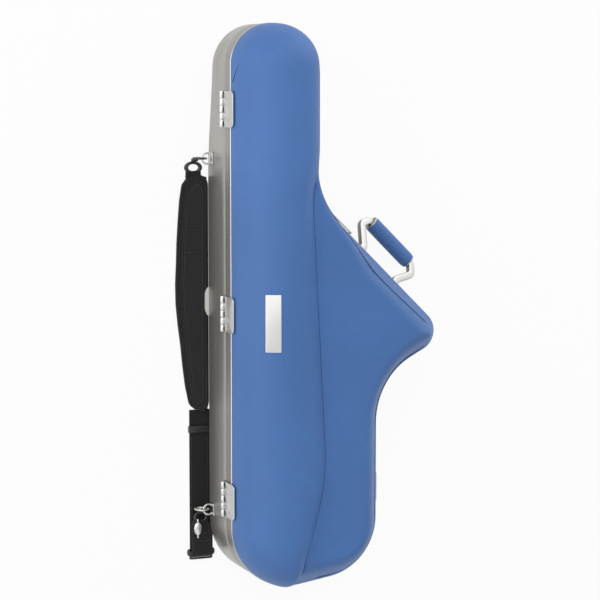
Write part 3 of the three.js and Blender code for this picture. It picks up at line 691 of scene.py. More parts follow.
LEATHER, LID_FOAM_DEPTH, LID_FOAM, LID_FOAM_GRID = 2.6, 16.0, 11.0, 9.0
SEAM_POINTS = 4.0
SEAM_LEVEL, SEAM_LOW_END, SEAM_CLIMB = 152.0, 115.2, 36.8
THREAD_SIDE, THREAD_RISE, SHADOW_CORD_RISE, CREASE_SINK = 2.6, 4.2, 1.8, 1.1
# The cords beside the seam and in the crease are dark, a painted shadow; the piping's lighter colour is a painted
# highlight.
PIPING, SHADOW_CORD, CREASE_SHADOW_CORD = 1.0, 1.1, 0.5
STITCH_RADIUS, STITCH_LIFT, STITCH_TIP = 0.42, 0.12, 0.32
RING_INSETS = (0.05, 0.2, 0.5, 1.0, 1.7, 2.7, 4.0, 5.7, 8.0, 11.0, 14.5, 18.0)
TUCK = ((1.5, 114.2), (0.6, 114.45), (0.12, 114.95), (0.0, 115.4))
SEAM_ROWS = ((-4.2, 0.0), (-2.3, 0.1), (-0.9, -0.5), (0.0, -1.5), (0.9, 0.1), (2.0, 0.7), (4.2, 0.0))
BAND_PROFILE = ((0.0, BAND_LOW + 0.3), (0.0, 96), (0.0, 104), (0.0, 110.6), (0.25, 111.0), (0.25, 111.4),
                (-0.35, 111.7), (-0.75, 112.3), (-0.8, 112.9), (-0.7, 113.5), (-0.2, 113.95), (1.2, 114.0),
                (3.0, 114.0), (3.0, BAND_LOW), (0.3, BAND_LOW))
BEAD_LOW = 111.2


def crease_path(depth=0.0):
    """Where the crown meets the lower part over the bell, from the shoulder down to the foot."""
    ring = outline(CROWN, depth)
    side = ring[(ring[:, 0] > 5) & (ring[:, 1] < 232)]
    side = side[np.argsort(-side[:, 1])]
    shares = np.linspace(0.01, 0.9, 180)
    path = []
    for x, y in side:
        spine = np.clip(y, *SPINE)
        along = np.column_stack([x * (1 - shares), y + (spine - y) * shares])
        rise = crown_level(shares, depth) - bell_level(along, edge_distance(along, outline(CASE, depth)), depth)
        above = np.nonzero(rise > 0)[0]
        if len(above) and above[0] > 3:
            path.append(along[above[0]])
    return np.array(path)


def even_path(path, pitch):
    """The same path with points at an even distance, measured in plan."""
    run = np.concatenate([[0], np.cumsum(np.hypot(*np.diff(path[:, :2], axis=0).T))])
    count = max(2, int(run[-1] / pitch))
    at = np.linspace(0, run[-1], count + 1)
    return np.column_stack([np.interp(at, run, path[:, k]) for k in range(path.shape[1])])


def side_step(path, offset):
    """A path moved sideways, to its left for a positive offset."""
    along = np.gradient(path, axis=0)
    along /= np.maximum(np.hypot(*along.T), 1e-9)[:, None]
    return path + np.column_stack([-along[:, 1], along[:, 0]]) * offset


def seam_path(rise=0.0):
    """The seam round the lid's front, from the rim on the hinge side over the neck end to the foot."""
    insets = np.concatenate([np.arange(0.0, 8.0, 0.25), np.arange(8.0, 46.0, 0.6)])
    rings = np.array([outline(CASE, inset) for inset in insets])
    heights = np.array([lid_level(ring) for ring in rings])
    x, y = rings[0].T
    target = SEAM_LEVEL + 4 * (1 - ease(y, 120, 215)) - 12 * (1 - ease(y, -30, 60)) - 20 * (1 - ease(y, -75, -20))
    target = np.where(x < -20, SEAM_LOW_END + SEAM_CLIMB * ease(y, 324, 394), target) + rise
    kept = ((x < -20) & (y > 335)) | ((x > -20) & (y > 0)) | ((y <= 0) & (x > 60))
    first = np.nonzero(kept & ~np.roll(kept, 1))[0][0]
    order = [i for i in np.roll(np.arange(len(x)), -first) if kept[i]]
    path = []
    for i in order:
        k = max(1, int(np.argmax(heights[:, i] >= target[i])))
        share = (target[i] - heights[k - 1, i]) / max(heights[k, i] - heights[k - 1, i], 1e-6)
        spot = rings[k - 1, i] + (rings[k, i] - rings[k - 1, i]) * min(max(share, 0), 1)
        path.append((*spot, target[i]))
    return smoothed(even_path(np.array(path), SEAM_POINTS), 16)


def lid_skin(name, depth, spacing, seams):
    """The lid's form drawn in by a depth: close rings at the edge and an even grid over the top."""
    rings = level_rings(CASE, TUCK if seams else [(depth, BAND_LOW + 1.2), (depth, LID_LOW)])
    for inset in RING_INSETS:
        flat = outline(CASE, depth + inset)
        roll = 1.4 * exp(-inset / 1.2) if seams else 0.0
        rings.append(np.column_stack([flat, lid_level(flat, depth) + roll]))
    vertices, faces = ring_skin(rings)
    inner = rings[-1][:, :2]
    count = len(inner)

    points = [tuple(p) for p in inner]
    heights = list(rings[-1][:, 2])
    edges = [(i, (i + 1) % count) for i in range(count)]
    if seams:
        path = even_path(smoothed(crease_path()), SEAM_POINTS)
        taken = []
        for offset, drop in SEAM_ROWS:
            row = side_step(path, offset)
            row = row[edge_distance(row, outline(CASE, depth)) > depth + RING_INSETS[-1] + 1.5]
            start = len(points)
            points += [tuple(p) for p in row]
            heights += list(lid_level(row, depth) + drop)
            gaps = np.hypot(*np.diff(row, axis=0).T)
            edges += [(start + i, start + i + 1) for i in range(len(row) - 1) if gaps[i] < 9]
            taken.append(row)
    low, high = inner.min(0), inner.max(0)
    columns = np.arange(low[0], high[0], spacing)
    lines = np.arange(low[1], high[1], spacing * 0.866)
    grid = np.array([(x + (k % 2) * spacing / 2, y) for k, y in enumerate(lines) for x in columns])
    grid = grid[inside(grid, inner)]
    grid = grid[edge_distance(grid, inner) > spacing * 0.55]
    if seams:
        near = [np.hypot(*(grid - spot).T) for spot in np.vstack(taken)]
        grid = grid[np.min(near, axis=0) > 2.0]
    points += [tuple(p) for p in grid]
    heights += list(lid_level(grid, depth))

    placed, _, cells, sources, _, _ = delaunay_2d_cdt([Vector(p) for p in points], edges, [], 1, 1e-5)
    base = len(vertices) - count
    number = {}
    for i, (spot, source) in enumerate(zip(placed, sources)):
        if source and source[0] < count:
            number[i] = base + source[0]
        else:
            number[i] = len(vertices)
            z = heights[source[0]] if source else float(lid_level(np.array([spot[:]]), depth)[0])
            vertices.append((spot[0], spot[1], z))
    faces += [tuple(number[i] for i in cell) for cell in cells]
    return piece(name, vertices, faces, 60.0)


def smoothed(path, rounds=12):
    """A path with its small kinks evened out, the ends kept."""
    path = path.copy()
    for _ in range(rounds):
        path[1:-1] = (path[:-2] + 2 * path[1:-1] + path[2:]) / 4
    return path


def inside(points, ring):
    """Which points are inside a closed outline."""
    result = np.zeros(len(points), bool)
    for (x0, y0), (x1, y1) in zip(ring, np.roll(ring, -1, axis=0)):
        crosses = (y0 > points[:, 1]) != (y1 > points[:, 1])
        with np.errstate(divide="ignore", invalid="ignore"):
            at = (x1 - x0) * (points[:, 1] - y0) / (y1 - y0) + x0
        result ^= crosses & (points[:, 0] < at)
    return result


def facing(points):
    """The direction that the lid faces at each point."""
    flat, gap = np.asarray(points)[:, :2], 0.25
    slope = [(lid_level(flat + step) - lid_level(flat - step)) / (2 * gap) for step in ((gap, 0), (0, gap))]
    away = np.column_stack([-slope[0], -slope[1], np.ones(len(flat))])
    return away / np.linalg.norm(away, axis=1)[:, None]


def stitch_row(path, sizes, away=None):
    """Vertices and faces of stitches laid along a path of points in space, each on the side it faces."""
    vertices, faces = [], []
    length = sizes.stitch / MM
    even = even_path(path, sizes.stitch_pitch / MM)
    sides = np.tile((0.0, 0.0, 1.0), (len(even), 1)) if away is None else away(even)
    for start, end, side in zip(even[:-1], even[1:], sides):
        middle = Vector((start + end) / 2) + Vector(side) * STITCH_LIFT
        along = Vector(end - start).normalized()
        across = along.cross(Vector(side)).normalized()
        up = across.cross(along)
        base = len(vertices)
        tip = along * length / 2
        vertices.append(middle - tip - up * STITCH_RADIUS)
        for place in (-STITCH_TIP, STITCH_TIP):
            belly = middle + along * place * length
            vertices += [belly + (across * cos(a) + up * sin(a)) * STITCH_RADIUS for a in turns(6)]
        vertices.append(middle + tip - up * STITCH_RADIUS)
        for k in range(6):
            j = (k + 1) % 6
            faces.append((base, base + 1 + j, base + 1 + k))
            faces.append((base + 1 + k, base + 1 + j, base + 7 + j, base + 7 + k))
            faces.append((base + 13, base + 7 + k, base + 7 + j))
    return vertices, faces


def on_lid(path):
    """A path laid on the lid."""
    return np.column_stack([path, lid_level(path)])


def tube(name, path, radius, sides=10, closed=False):
    """A round cord of leather or wire along points in space."""
    path = [Vector(p) for p in path]
    count = len(path)
    rings, across = [], None
    for i, spot in enumerate(path):
        before = path[i - 1] if closed or i else spot
        after = path[(i + 1) % count] if closed or i < count - 1 else spot
        along = (after - before).normalized()
        if across is None:
            across = along.orthogonal().normalized()
        across = (across - along * across.dot(along)).normalized()
        up = along.cross(across)
        rings.append([spot + across * radius * cos(a) + up * radius * sin(a) for a in turns(sides)])
    return piece(name, *ring_skin(rings, closed, not closed), 60)


def gather(parts):
    """One list of vertices and faces from several."""
    vertices, faces = [], []
    for some, around in parts:
        start = len(vertices)
        vertices += some
        faces += [tuple(start + i for i in face) for face in around]
    return vertices, faces


class CASE_OT_lid(bpy.types.Operator):
    """Builds the leather lid, its seams, the aluminium rim band and the lining"""
    bl_idname = "sax_case.lid"
    bl_label = "Lid"

    def execute(self, context):
        sizes = context.scene.case_sizes
        cover = lid_skin("lid_leather", 0.0, sizes.grid / MM, True)
        modify(cover, "SOLIDIFY", thickness=LEATHER * MM, offset=-1)
        dress(smooth(cover, 60), "lid", "leather", "lid_shell")
        lining = lid_skin("lid_lining", LID_FOAM_DEPTH, LID_FOAM_GRID, False)
        modify(lining, "SOLIDIFY", thickness=LID_FOAM * MM, offset=1)
        dress(smooth(lining, 60), "lid", "plush", "lid_liner")

        crease = even_path(smoothed(crease_path()), SEAM_POINTS)
        rows = [stitch_row(on_lid(side_step(crease, side)), sizes) for side in (THREAD_SIDE, -THREAD_SIDE)]
        rows.append(stitch_row(seam_path(THREAD_RISE), sizes, facing))
        dress(piece("lid_stitching", *gather(rows)), "lid", "thread")
        # The piping's lighter colour is a painted highlight on the seam.
        dress(tube("lid_piping", seam_path(), PIPING), "lid", "piping")
        # Dark cords beside the seam and in the crease: painted shadow.
        dress(tube("lid_seam_fold", seam_path(SHADOW_CORD_RISE), SHADOW_CORD), "lid", "fold")
        dress(tube("lid_crease_fold", on_lid(crease) - (0, 0, CREASE_SINK), CREASE_SHADOW_CORD), "lid", "crease")

        band = piece("lid_rim_band", *ring_skin(level_rings(CASE, BAND_PROFILE), wrapped=True), 30)
        dress(band, "lid", "band", "lid_band")
        second_finish(band, "bead", lambda face: face.center.z > BEAD_LOW * MM)
        return {"FINISHED"}


# Shapes for the hardware

EAR = Matrix(((0, 0, 1, 0), (1, 0, 0, 0), (0, 1, 0, 0), (0, 0, 0, 1)))
UPRIGHT = Matrix(((1, 0, 0, 0), (0, 0, 1, 0), (0, 1, 0, 0), (0, 0, 0, 1)))
WALL = Matrix(((0, 0, -1, 0), (-1, 0, 0, 0), (0, 1, 0, 0), (0, 0, 0, 1)))
WALL_OUT, WALL_GAP, EDGE = 68.3, 0.3, 0.4


def shift(x=0.0, y=0.0, z=0.0):
    """A move in millimetres."""
    return Matrix.Translation(mm((x, y, z)))


def placed(centre, scale=(1, 1, 1), turn=(0, 0, 0)):
    """Puts the shape just added in its place and into its mesh."""
    made = bpy.context.object
    made.scale, made.rotation_euler, made.location = scale, turn, mm(centre)
    return settle(made)


def block(size, centre, bevel=0.0, segments=3):
    """A box with rounded edges, in millimetres."""
    bpy.ops.mesh.primitive_cube_add(size=1)
    made = placed(centre, mm(size))
    return soften(made, bevel, 50, segments) if bevel else made


def rod(radius, start, end, bevel=0.0, sides=32):
    """A round bar between two points, its end edges softened."""
    start, end = Vector(start), Vector(end)
    bpy.ops.mesh.primitive_cylinder_add(radius=radius * MM, depth=(end - start).length * MM, vertices=sides)
    turn = Vector((0, 0, 1)).rotation_difference(end - start).to_euler()
    made = placed((start + end) / 2, turn=turn)
    return soften(made, bevel) if bevel else made


def ball(radii, centre, segments=32):
    """An egg or a ball, in millimetres."""
    bpy.ops.mesh.primitive_uv_sphere_add(segments=segments, ring_count=segments // 2, radius=MM)
    return placed(centre, radii)


def ring_of(radius, wire, centre, axis="Z", stretch=(1, 1, 1)):
    """A wire ring about an axis."""
    bpy.ops.mesh.primitive_torus_add(major_radius=radius * MM, minor_radius=wire * MM, major_segments=48,
                                     minor_segments=12)
    return placed(centre, stretch, (pi / 2, 0, 0) if axis == "Y" else (0, 0, 0))


def slab(corners, thickness, bevel=0.0, low=0.0):
    """A flat plate with rounded corners, each a place in X and Y and a radius, from a low level up."""
    flat = outline(corners, 0.0, 12.0, 1e6)
    made = piece("slab", [(x, y, low) for x, y in flat], [tuple(range(len(flat)))])
    modify(made, "SOLIDIFY", thickness=thickness * MM, offset=1)
    return soften(made, bevel, 40) if bevel else made


def four(half, low, high, low_round, high_round):
    """The four corners of a plate, with their radii."""
    return (-half, low, low_round), (half, low, low_round), (half, high, high_round), (-half, high, high_round)


def fuse(name, first, *others, angle=38.0):
    """One piece out of several, under a name."""
    if others:
        take(first, *others)
        bpy.ops.object.join()
    first.name = first.data.name = name
    return smooth(first, angle)


def cut(made, *tools):
    """Takes the tools' shapes away from a piece."""
    for tool in tools:
        modify(made, "BOOLEAN", object=tool, operation="DIFFERENCE", solver="EXACT")
        bpy.data.objects.remove(tool)
    return made


def twin(made, name, matrix):
    """A copy with a mesh of its own, moved by a matrix."""
    copy = made.copy()
    copy.data = made.data.copy()
    copy.name = copy.data.name = name
    bpy.context.scene.collection.objects.link(copy)
    copy.data.transform(matrix)
    return copy


def wall_slab(corners, thickness, bevel, out):
    """A plate with rounded corners in X and Z that starts at a distance out of the wall."""
    made = slab(corners, thickness, bevel, out)
    made.data.transform(UPRIGHT)
    return outward(made)


def ears(starts, out, low, high, rounds, thickness, bevel, bore, pivot):
    """The ears of a plate, round about their pivot and bored for it."""
    corners = ((0.3, low, rounds[0]), (out, low, rounds[1]), (out, high, rounds[1]), (0.3, high, rounds[0]))
    made = [slab(corners, thickness, bevel, start) for start in starts]
    for ear in made:
        ear.data.transform(EAR)
        cut(ear, rod(bore, (-25, *pivot), (25, *pivot), 0, 24))
    return made


def bent(corners, radius, step=15.0):
    """An open path in two directions with its corners rounded."""
    runs = corner_runs([(*spot, radius) for spot in corners], 0.0)
    path = [tuple(corners[0])]
    for run in runs[1:-1]:
        path += arc_points(run, max(1, ceil(abs(degrees(run[3])) / step)))
    return path + [tuple(corners[-1])]


def sweep(name, path, section, angle=38.0):
    """A section carried along a path in X and Z; section points are across the path and along Y."""
    path = [Vector(spot) for spot in path]
    rings = []
    for i, spot in enumerate(path):
        into = (spot - path[max(i - 1, 0)]).normalized()
        out = (path[min(i + 1, len(path) - 1)] - spot).normalized()
        mean = (into + out).normalized()
        stretch = 1 / max(mean.dot(into if i else out), 0.7)
        rings.append([(spot.x + mean.y * a * stretch, b, spot.y - mean.x * a * stretch) for a, b in section])
    return outward(piece(name, *ring_skin(rings, capped=True), angle))


def rounded_section(across, through, power=1.0, sides=24):
    """A section between a round and a box, from its half sizes."""
    return [(copysign(abs(cos(a)) ** power * across, cos(a)), copysign(abs(sin(a)) ** power * through, sin(a)))
            for a in turns(sides)]


def frame_at(x, y, z, angle=0.0):
    """A place on a wall: local X runs along the wall and Y out of it."""
    return shift(x, y, z) @ Matrix.Rotation(angle, 4, "Z")


# Hinges

HINGE_AXIS = (-73.0, 88.0)
HINGES = {"hinge_top": 300.5, "hinge_middle": -6.0, "hinge_low": -288.5}
HINGE_HALF = 27.0
KNUCKLE, KNUCKLE_STEP, KNUCKLE_GAP, KNUCKLE_ROOM = 3.5, 10.8, 0.3, 7.6
HINGE_BORE, HINGE_PIN = 1.8, 1.45
LEAF, LEAF_EDGE, LID_LEAF_OUT = 2.4, 0.45, 69.1
SLOT_LENGTH, SLOT_RISE = 8.0, 5.2


def hinge_leaf(corners, depth, first, other):
    """A leaf against the wall with its knuckles, and room for the other leaf's."""
    x, z = HINGE_AXIS
    leaf = settle(slab(corners, LEAF, LEAF_EDGE, depth), WALL)
    start = [KNUCKLE_STEP * k - HINGE_HALF for k in range(5)]
    room = (KNUCKLE_ROOM, KNUCKLE_STEP, KNUCKLE_ROOM)
    cut(leaf, *(block(room, (x, y + KNUCKLE_STEP / 2, z)) for y in start[other::2]))
    knuckles = [rod(KNUCKLE, (x, y + KNUCKLE_GAP / 2, z), (x, y + KNUCKLE_STEP - KNUCKLE_GAP / 2, z), 0.5)
                for y in start[first::2]]
    return leaf, [cut(made, rod(HINGE_BORE, (x, -35, z), (x, 35, z), 0, 20)) for made in knuckles]


class CASE_OT_hinges(bpy.types.Operator):
    """Builds one butt hinge and sets three along the wall"""
    bl_idname = "sax_case.hinges"
    bl_label = "Hinges"

    def execute(self, context):
        x, z = HINGE_AXIS
        base_leaf, low = hinge_leaf(four(HINGE_HALF, 76, 87.6, 3, 0.4), WALL_OUT, 0, 1)
        lid_leaf, high = hinge_leaf(four(HINGE_HALF, 88.4, 130, 0.4, 7), LID_LEAF_OUT, 1, 0)
        arc = [((2 + 44 * cos(a)) * 0.56, 141 - 34 * sin(a)) for a in np.linspace(0.75, 2.25, 24)]
        groove = sweep("groove", arc, rounded_section(0.5, 0.45, 1.0, 8))
        groove.data.transform(WALL @ shift(z=71.5) @ Matrix.Rotation(-pi / 2, 4, "X"))
        slant = shift(-71.6, -17.5, 111.5) @ Matrix.Rotation(radians(38), 4, "X")
        slit = settle(block((2, 5.6, 1.5), (0, 0, 0), 0.3), slant)
        slots = [KNUCKLE_STEP * (k + 0.5) - HINGE_HALF for k in (0, 2, 4)]
        cut(lid_leaf, groove, slit, *(block((KNUCKLE_ROOM, SLOT_LENGTH, 3.0), (x, y, z + SLOT_RISE)) for y in slots))
        parts = (("base_leaf", fuse("base_leaf", base_leaf, *low), "base"),
                 ("lid_leaf", fuse("lid_leaf", lid_leaf, *high), "lid"),
                 ("pin", rod(HINGE_PIN, (x, -HINGE_HALF, z), (x, HINGE_HALF, z), 0.3, 24), "base"))
        # Dark blocks behind the lid leaf's slots: painted shadow in the notches.
        shadow = fuse("shadow", *(block((0.8, 7.8, 3.2), (-69.75, y, z + 5.0)) for y in slots))
        for name, y in HINGES.items():
            dress(twin(shadow, f"{name}_slot_shadow", shift(y=y)), "lid", "gap")
            for kind, made, body in parts:
                copy = smooth(twin(made, f"{name}_{kind}_metal", shift(y=y)), 35)
                dress(copy, body, "bright", f"{name}_{kind}")
        for made in (shadow, *(made for _, made, _ in parts)):
            bpy.data.objects.remove(made)
        return {"FINISHED"}


# Latches, each in a frame whose X runs along the wall, Y out of it and Z up from the parting line

LATCHES = {"latch_neck": (62.0, 300.5, -pi / 2), "latch_bow": (168.0, -284.5, -pi / 2),
           "latch_bell": (*(SLOPE_START + 70 * Vector((cos(SLOPE_ANGLE), sin(SLOPE_ANGLE), 0)))[:2], SLOPE_ANGLE)}
LATCH_PIVOT = (6.5, -14)
TONGUE = ((6.9, -14), (7.4, -17), (7.4, -39.5), (7.9, -42.4), (8.6, -43.7), (9.7, -43.4), (9.9, -42.2), (9.6, -40.6),
          (9.9, -38), (9.9, -16), (9.3, -14))
BAIL_LOOP = ((-10.8, -21), (-22.2, -21), (-22.2, 13), (22.2, 13), (22.2, -21), (10.8, -21))
LEVER_HALF, BARREL, AXLE, AXLE_HALF, BAIL = 15.3, 3.4, 1.6, 18.4, 1.5
PLATE_HALF, PLATE, LATCH_EAR, LATCH_BORE = 18.5, 2.0, 2.8, 2.0


class CASE_OT_latches(bpy.types.Operator):
    """Builds one draw latch and sets three on the walls"""
    bl_idname = "sax_case.latches"
    bl_label = "Latches"

    def execute(self, context):
        base = wall_slab(four(PLATE_HALF, -37.7, -9.7, 3, 0.5), PLATE, EDGE, WALL_GAP)
        sides = ears((-PLATE_HALF, PLATE_HALF - LATCH_EAR), 10.8, -18.3, -9.7, (0.5, 4.25), LATCH_EAR, EDGE,
                     LATCH_BORE, LATCH_PIVOT)
        plate = fuse("plate", base, *sides)

        tongue = piece("tongue", [(-LEVER_HALF, y, z) for y, z in TONGUE], [tuple(range(len(TONGUE)))])
        outward(modify(tongue, "SOLIDIFY", thickness=2 * LEVER_HALF * MM, offset=-1))
        low = min(v.co.x for v in tongue.data.vertices)
        tongue.data.transform(Matrix.Translation((-LEVER_HALF * MM - low, 0, 0)))
        cut(soften(tongue, 0.4), block((19, 1.2, 14), (0, 10.2, -29), 0.55))
        rounds = ((BARREL, LEVER_HALF, EDGE, 32), (AXLE, AXLE_HALF, 0.2, 24))
        barrel, axle = (rod(radius, (-half, *LATCH_PIVOT), (half, *LATCH_PIVOT), bevel, count)
                        for radius, half, bevel, count in rounds)
        lugs = [cut(block((5, 5.2, 9.5), (side * 12.8, 7.3, -18.1), 0.5),
                    rod(1.9, (side * 9, 6.5, -21), (side * 20, 6.5, -21), 0, 20)) for side in (-1, 1)]
        lever = fuse("lever", tongue, barrel, axle, *lugs)

        bail = sweep("bail", bent(BAIL_LOOP, 3.0), rounded_section(BAIL, BAIL, 1.0, 14), 60)
        bail.data.transform(shift(y=LATCH_PIVOT[0]))
        back = wall_slab(four(15, 0.7, 16.7, 2, 3), PLATE, EDGE, WALL_GAP)
        keeper = fuse("keeper", back, block((30, 3.8, 5.0), (0, 2.8, 8.6), 1.1, 4))

        parts = (("plate", plate, "base"), ("lever", lever, "{}_lever"), ("bail", bail, "{}_bail"),
                 ("keeper", keeper, "lid"))
        for name, (x, y, angle) in LATCHES.items():
            for kind, made, body in parts:
                copy = twin(made, f"{name}_{kind}_metal", frame_at(x, y, BASE_TOP, angle))
                smooth(copy, 60 if kind == "bail" else 35)
                dress(copy, body.format(name), "bright", f"{name}_{kind}")
        for _, made, _ in parts:
            bpy.data.objects.remove(made)
        return {"FINISHED"}


# Handle, in a frame whose X runs down the slope and Z reaches from the pivot to the grip

HANDLE_ALONG, HANDLE_OUT, HANDLE_LEVEL, HANDLE_HALF = 176.5, 8.8, 60.0, 39.0
HANDLE_SWING = radians(-32 - 90)
HANDLE_REACH = 59.0
BOW_PATH = ((-39, 0), (-39, 10), (-59.5, 42), (-50, 59), (50, 59), (59.5, 42), (39, 10), (39, 0))
GRIP_PROFILE = ((-43.5, 6.4), (-43.5, 9.6), (-43.2, 11.0), (-42.3, 11.8), (-40, 12.2), (-30, 12.3), (0, 12.4),
                (30, 12.3), (40, 12.2), (42.3, 11.8), (43.2, 11.0), (43.5, 9.6), (43.5, 6.4))
GRIP_RADIUS = 12.3
HANDLE_BORE, HANDLE_PIN, HANDLE_EYE, BRACKET_HALF = 2.6, 2.2, 5.0, 9.4
DISC, DISC_AT = 11.4, 44.6
SEAM_SIDE = Vector((0, -0.6, -0.8))


class CASE_OT_handle(bpy.types.Operator):
    """Builds the handle: its bow, covered grip, brackets and pins"""
    bl_idname = "sax_case.handle"
    bl_label = "Handle"

    def execute(self, context):
        slope = frame_at(SLOPE_START.x, SLOPE_START.y, 0, SLOPE_ANGLE)
        swing = slope @ shift(HANDLE_ALONG, HANDLE_OUT, HANDLE_LEVEL) @ Matrix.Rotation(HANDLE_SWING, 4, "X")
        bar = sweep("bar", bent(BOW_PATH, 10.0, 6.0), rounded_section(6.0, 4.5, 0.34, 32), 28)
        cut(bar, *(rod(HANDLE_BORE, (x - 15, 0, 0), (x + 15, 0, 0), 0, 24) for x in (-45, 45)))
        eyes = [cut(rod(HANDLE_EYE, (x - 6, 0, 0), (x + 6, 0, 0), 0.6),
                    rod(HANDLE_BORE, (x - 9, 0, 0), (x + 9, 0, 0), 0, 24)) for x in (-HANDLE_HALF, HANDLE_HALF)]
        discs = [rod(DISC, (x - 1.0, 0, HANDLE_REACH), (x + 1.0, 0, HANDLE_REACH), 0.6, 48)
                 for x in (-DISC_AT, DISC_AT)]
        bow = fuse("handle_bow_metal", bar, *eyes, *discs, angle=30)
        bow.data.transform(swing)
        dress(smooth(bow, 30), "handle", "silver", "handle_bow")
        # The bow's faces turned towards -X get the darker silver: painted shade.
        second_finish(bow, "silver_side", lambda face: face.normal.x < -0.55 and face.normal.z < 0.6)

        rings = [[(x, r * sin(a), HANDLE_REACH + r * cos(a)) for a in turns(56)] for x, r in GRIP_PROFILE]
        grip = outward(piece("handle_grip_leather", *ring_skin(rings, wrapped=True), 40))
        line = np.linspace((-40, 0, HANDLE_REACH), (40, 0, HANDLE_REACH), 40) + GRIP_RADIUS * np.array(SEAM_SIDE)
        rows = [stitch_row(line + np.array([0, 0.8, -0.6]) * side, context.scene.case_sizes,
                           lambda spots: [SEAM_SIDE] * len(spots)) for side in (-1.8, 1.8)]
        thread = piece("handle_grip_thread", *gather(rows))
        for made in (grip, thread):
            made.data.transform(swing)
        dress(grip, "handle", "grip", "handle_grip")
        dress(thread, "handle", "thread")

        for side, end in ((-1, "a"), (1, "b")):
            centre = HANDLE_ALONG + side * HANDLE_HALF
            base = wall_slab(four(BRACKET_HALF, 49, 71, 2.5, 2.5), 2.4, EDGE, WALL_GAP)
            sides = ears((-BRACKET_HALF, BRACKET_HALF - 3.0), 13.8, 55, 65, (0.4, 4.9), 3.0, 0.45, HANDLE_BORE,
                         (HANDLE_OUT, HANDLE_LEVEL))
            bracket = fuse(f"handle_bracket_{end}_metal", base, *sides, angle=35)
            bracket.data.transform(slope @ shift(centre))
            dress(smooth(bracket, 35), "base", "silver", f"handle_bracket_{end}")
            pin = rod(HANDLE_PIN, *((centre + x, HANDLE_OUT, HANDLE_LEVEL) for x in (-9.3, 9.3)), 0.4, 24)
            pin.data.transform(slope)
            dress(fuse(f"handle_pin_{end}_metal", pin), "base", "bright", f"handle_pin_{end}")
        return {"FINISHED"}


# Plate on the crown and bumper on the back

PLATE_GAP = 0.25
PLATE_CORNERS = ((-41.5, -54.5, 1.2), (-20.5, -54.5, 1.2), (-20.5, 30.5, 1.2), (-41.5, 30.5, 1.2))


class CASE_OT_trim(bpy.types.Operator):
    """Builds the bare plate on the crown and the domed bumper on the hinge wall"""
    bl_idname = "sax_case.trim"
    bl_label = "Plate and bumper"

    def execute(self, context):
        plate = slab(PLATE_CORNERS, 1.2, 0.3)
        for x in np.arange(-40.0, -21.0, 1.5):
            edit(plate, bpy.ops.mesh.bisect, plane_co=mm((x, 0, 0)), plane_no=(1, 0, 0))
        for vertex in plate.data.vertices:
            flat = np.array([vertex.co[:2]]) / MM
            vertex.co.z += float(lid_level(flat)[0] + PLATE_GAP) * MM
        dress(fuse("name_plate_metal", plate, angle=30), "lid", "plate", "name_plate")

        dome = ball((9.5, 23.5, 14), (-66, 5, 14.5), 64)
        for place, normal in (((-65.2, 0, 0), (1, 0, 0)), ((0, 0, 20.5), (-0.12, 0, 1))):
            edit(dome, bpy.ops.mesh.bisect, plane_co=mm(place), plane_no=normal, use_fill=True, clear_outer=True)
        soften(dome, 1.2, 40, 3)
        dress(fuse("corner_bumper_dome", dome, angle=60), "base", "bumper", "corner_bumper")
        return {"FINISHED"}


# Shoulder strap, laid beside the hinge wall

PAD_REACH = (0.58, 0.71, 0.79, 0.85, 0.93, 0.99, 1.0, 0.97, 0.95, 0.91, 0.86, 0.76)
PAD_LOW, PAD_HIGH, PAD_SIDE = -165.0, 200.0, -67.6
PAD_WIDTH, PAD_HALF, PAD_TIP, PAD_SIDES = 51.4, 6.5, 14.0, 36
PAD_BORDER, BINDING_IN, PANEL_IN, PANEL_STITCH_IN = 8.0, 1.4, 8.5, 10.6
BINDING, PANEL_PIPING, PATCH_PIPING = 2.6, 1.15, 0.9
PATCH_LINES = (118.0, 113.0, 84.0, 79.0)
COVER = {"quality": 6, "mass": 0.3, "tension_stiffness": 20, "compression_stiffness": 20, "bending_stiffness": 0.8,
         "use_pressure": True, "uniform_pressure_force": 4.0}
PUFF_STEPS, PUFF_MOST, OFF_FLOOR = 20, 1.2, 0.3


def pad_row(y, reach, thick):
    """The pad's section at one place: a flat oval against its straight side."""
    across = rounded_section(reach / 2, PAD_HALF * thick, 0.6, PAD_SIDES)
    return [(PAD_SIDE - reach / 2 - a, y, PAD_HALF + b) for a, b in across]


def pad_reach(y):
    """How wide the pad is at each place along it."""
    places = np.linspace(PAD_LOW + 8, PAD_HIGH - 8, len(PAD_REACH))
    return PAD_WIDTH * np.interp(y, places, PAD_REACH)


def pad_ring(inset, step=4.0):
    """The pad's outline in plan at an inset, with round ends."""
    ys = np.arange(PAD_LOW + inset, PAD_HIGH - inset + 0.01, step)
    full = pad_reach(ys)
    reach = full
    for end, way in ((ys[0], 1), (ys[-1], -1)):
        near = np.clip((ys - end) * way / PAD_TIP, 0, 1)
        reach = reach * (0.5 + 0.5 * np.sqrt(1 - (1 - near) ** 2))
    ends = (np.abs(ys - ys[0]) < PAD_TIP) | (np.abs(ys - ys[-1]) < PAD_TIP)
    drawn = np.where(ends, (full - reach) * 0.5, 0)
    left = np.column_stack([PAD_SIDE - reach + inset + drawn, ys])
    right = np.column_stack([PAD_SIDE - inset - drawn, ys])
    return np.vstack([right, left[::-1], right[:1]])


def on_piece(made, path, lift=0.0):
    """A plan path laid on the upper side of a piece."""
    laid = []
    for x, y in path:
        hit, spot, _, _ = made.ray_cast(Vector((x * MM, y * MM, 0.1)), Vector((0, 0, -1)))
        if hit:
            laid.append((x, y, spot.z / MM + lift))
    return np.array(laid)


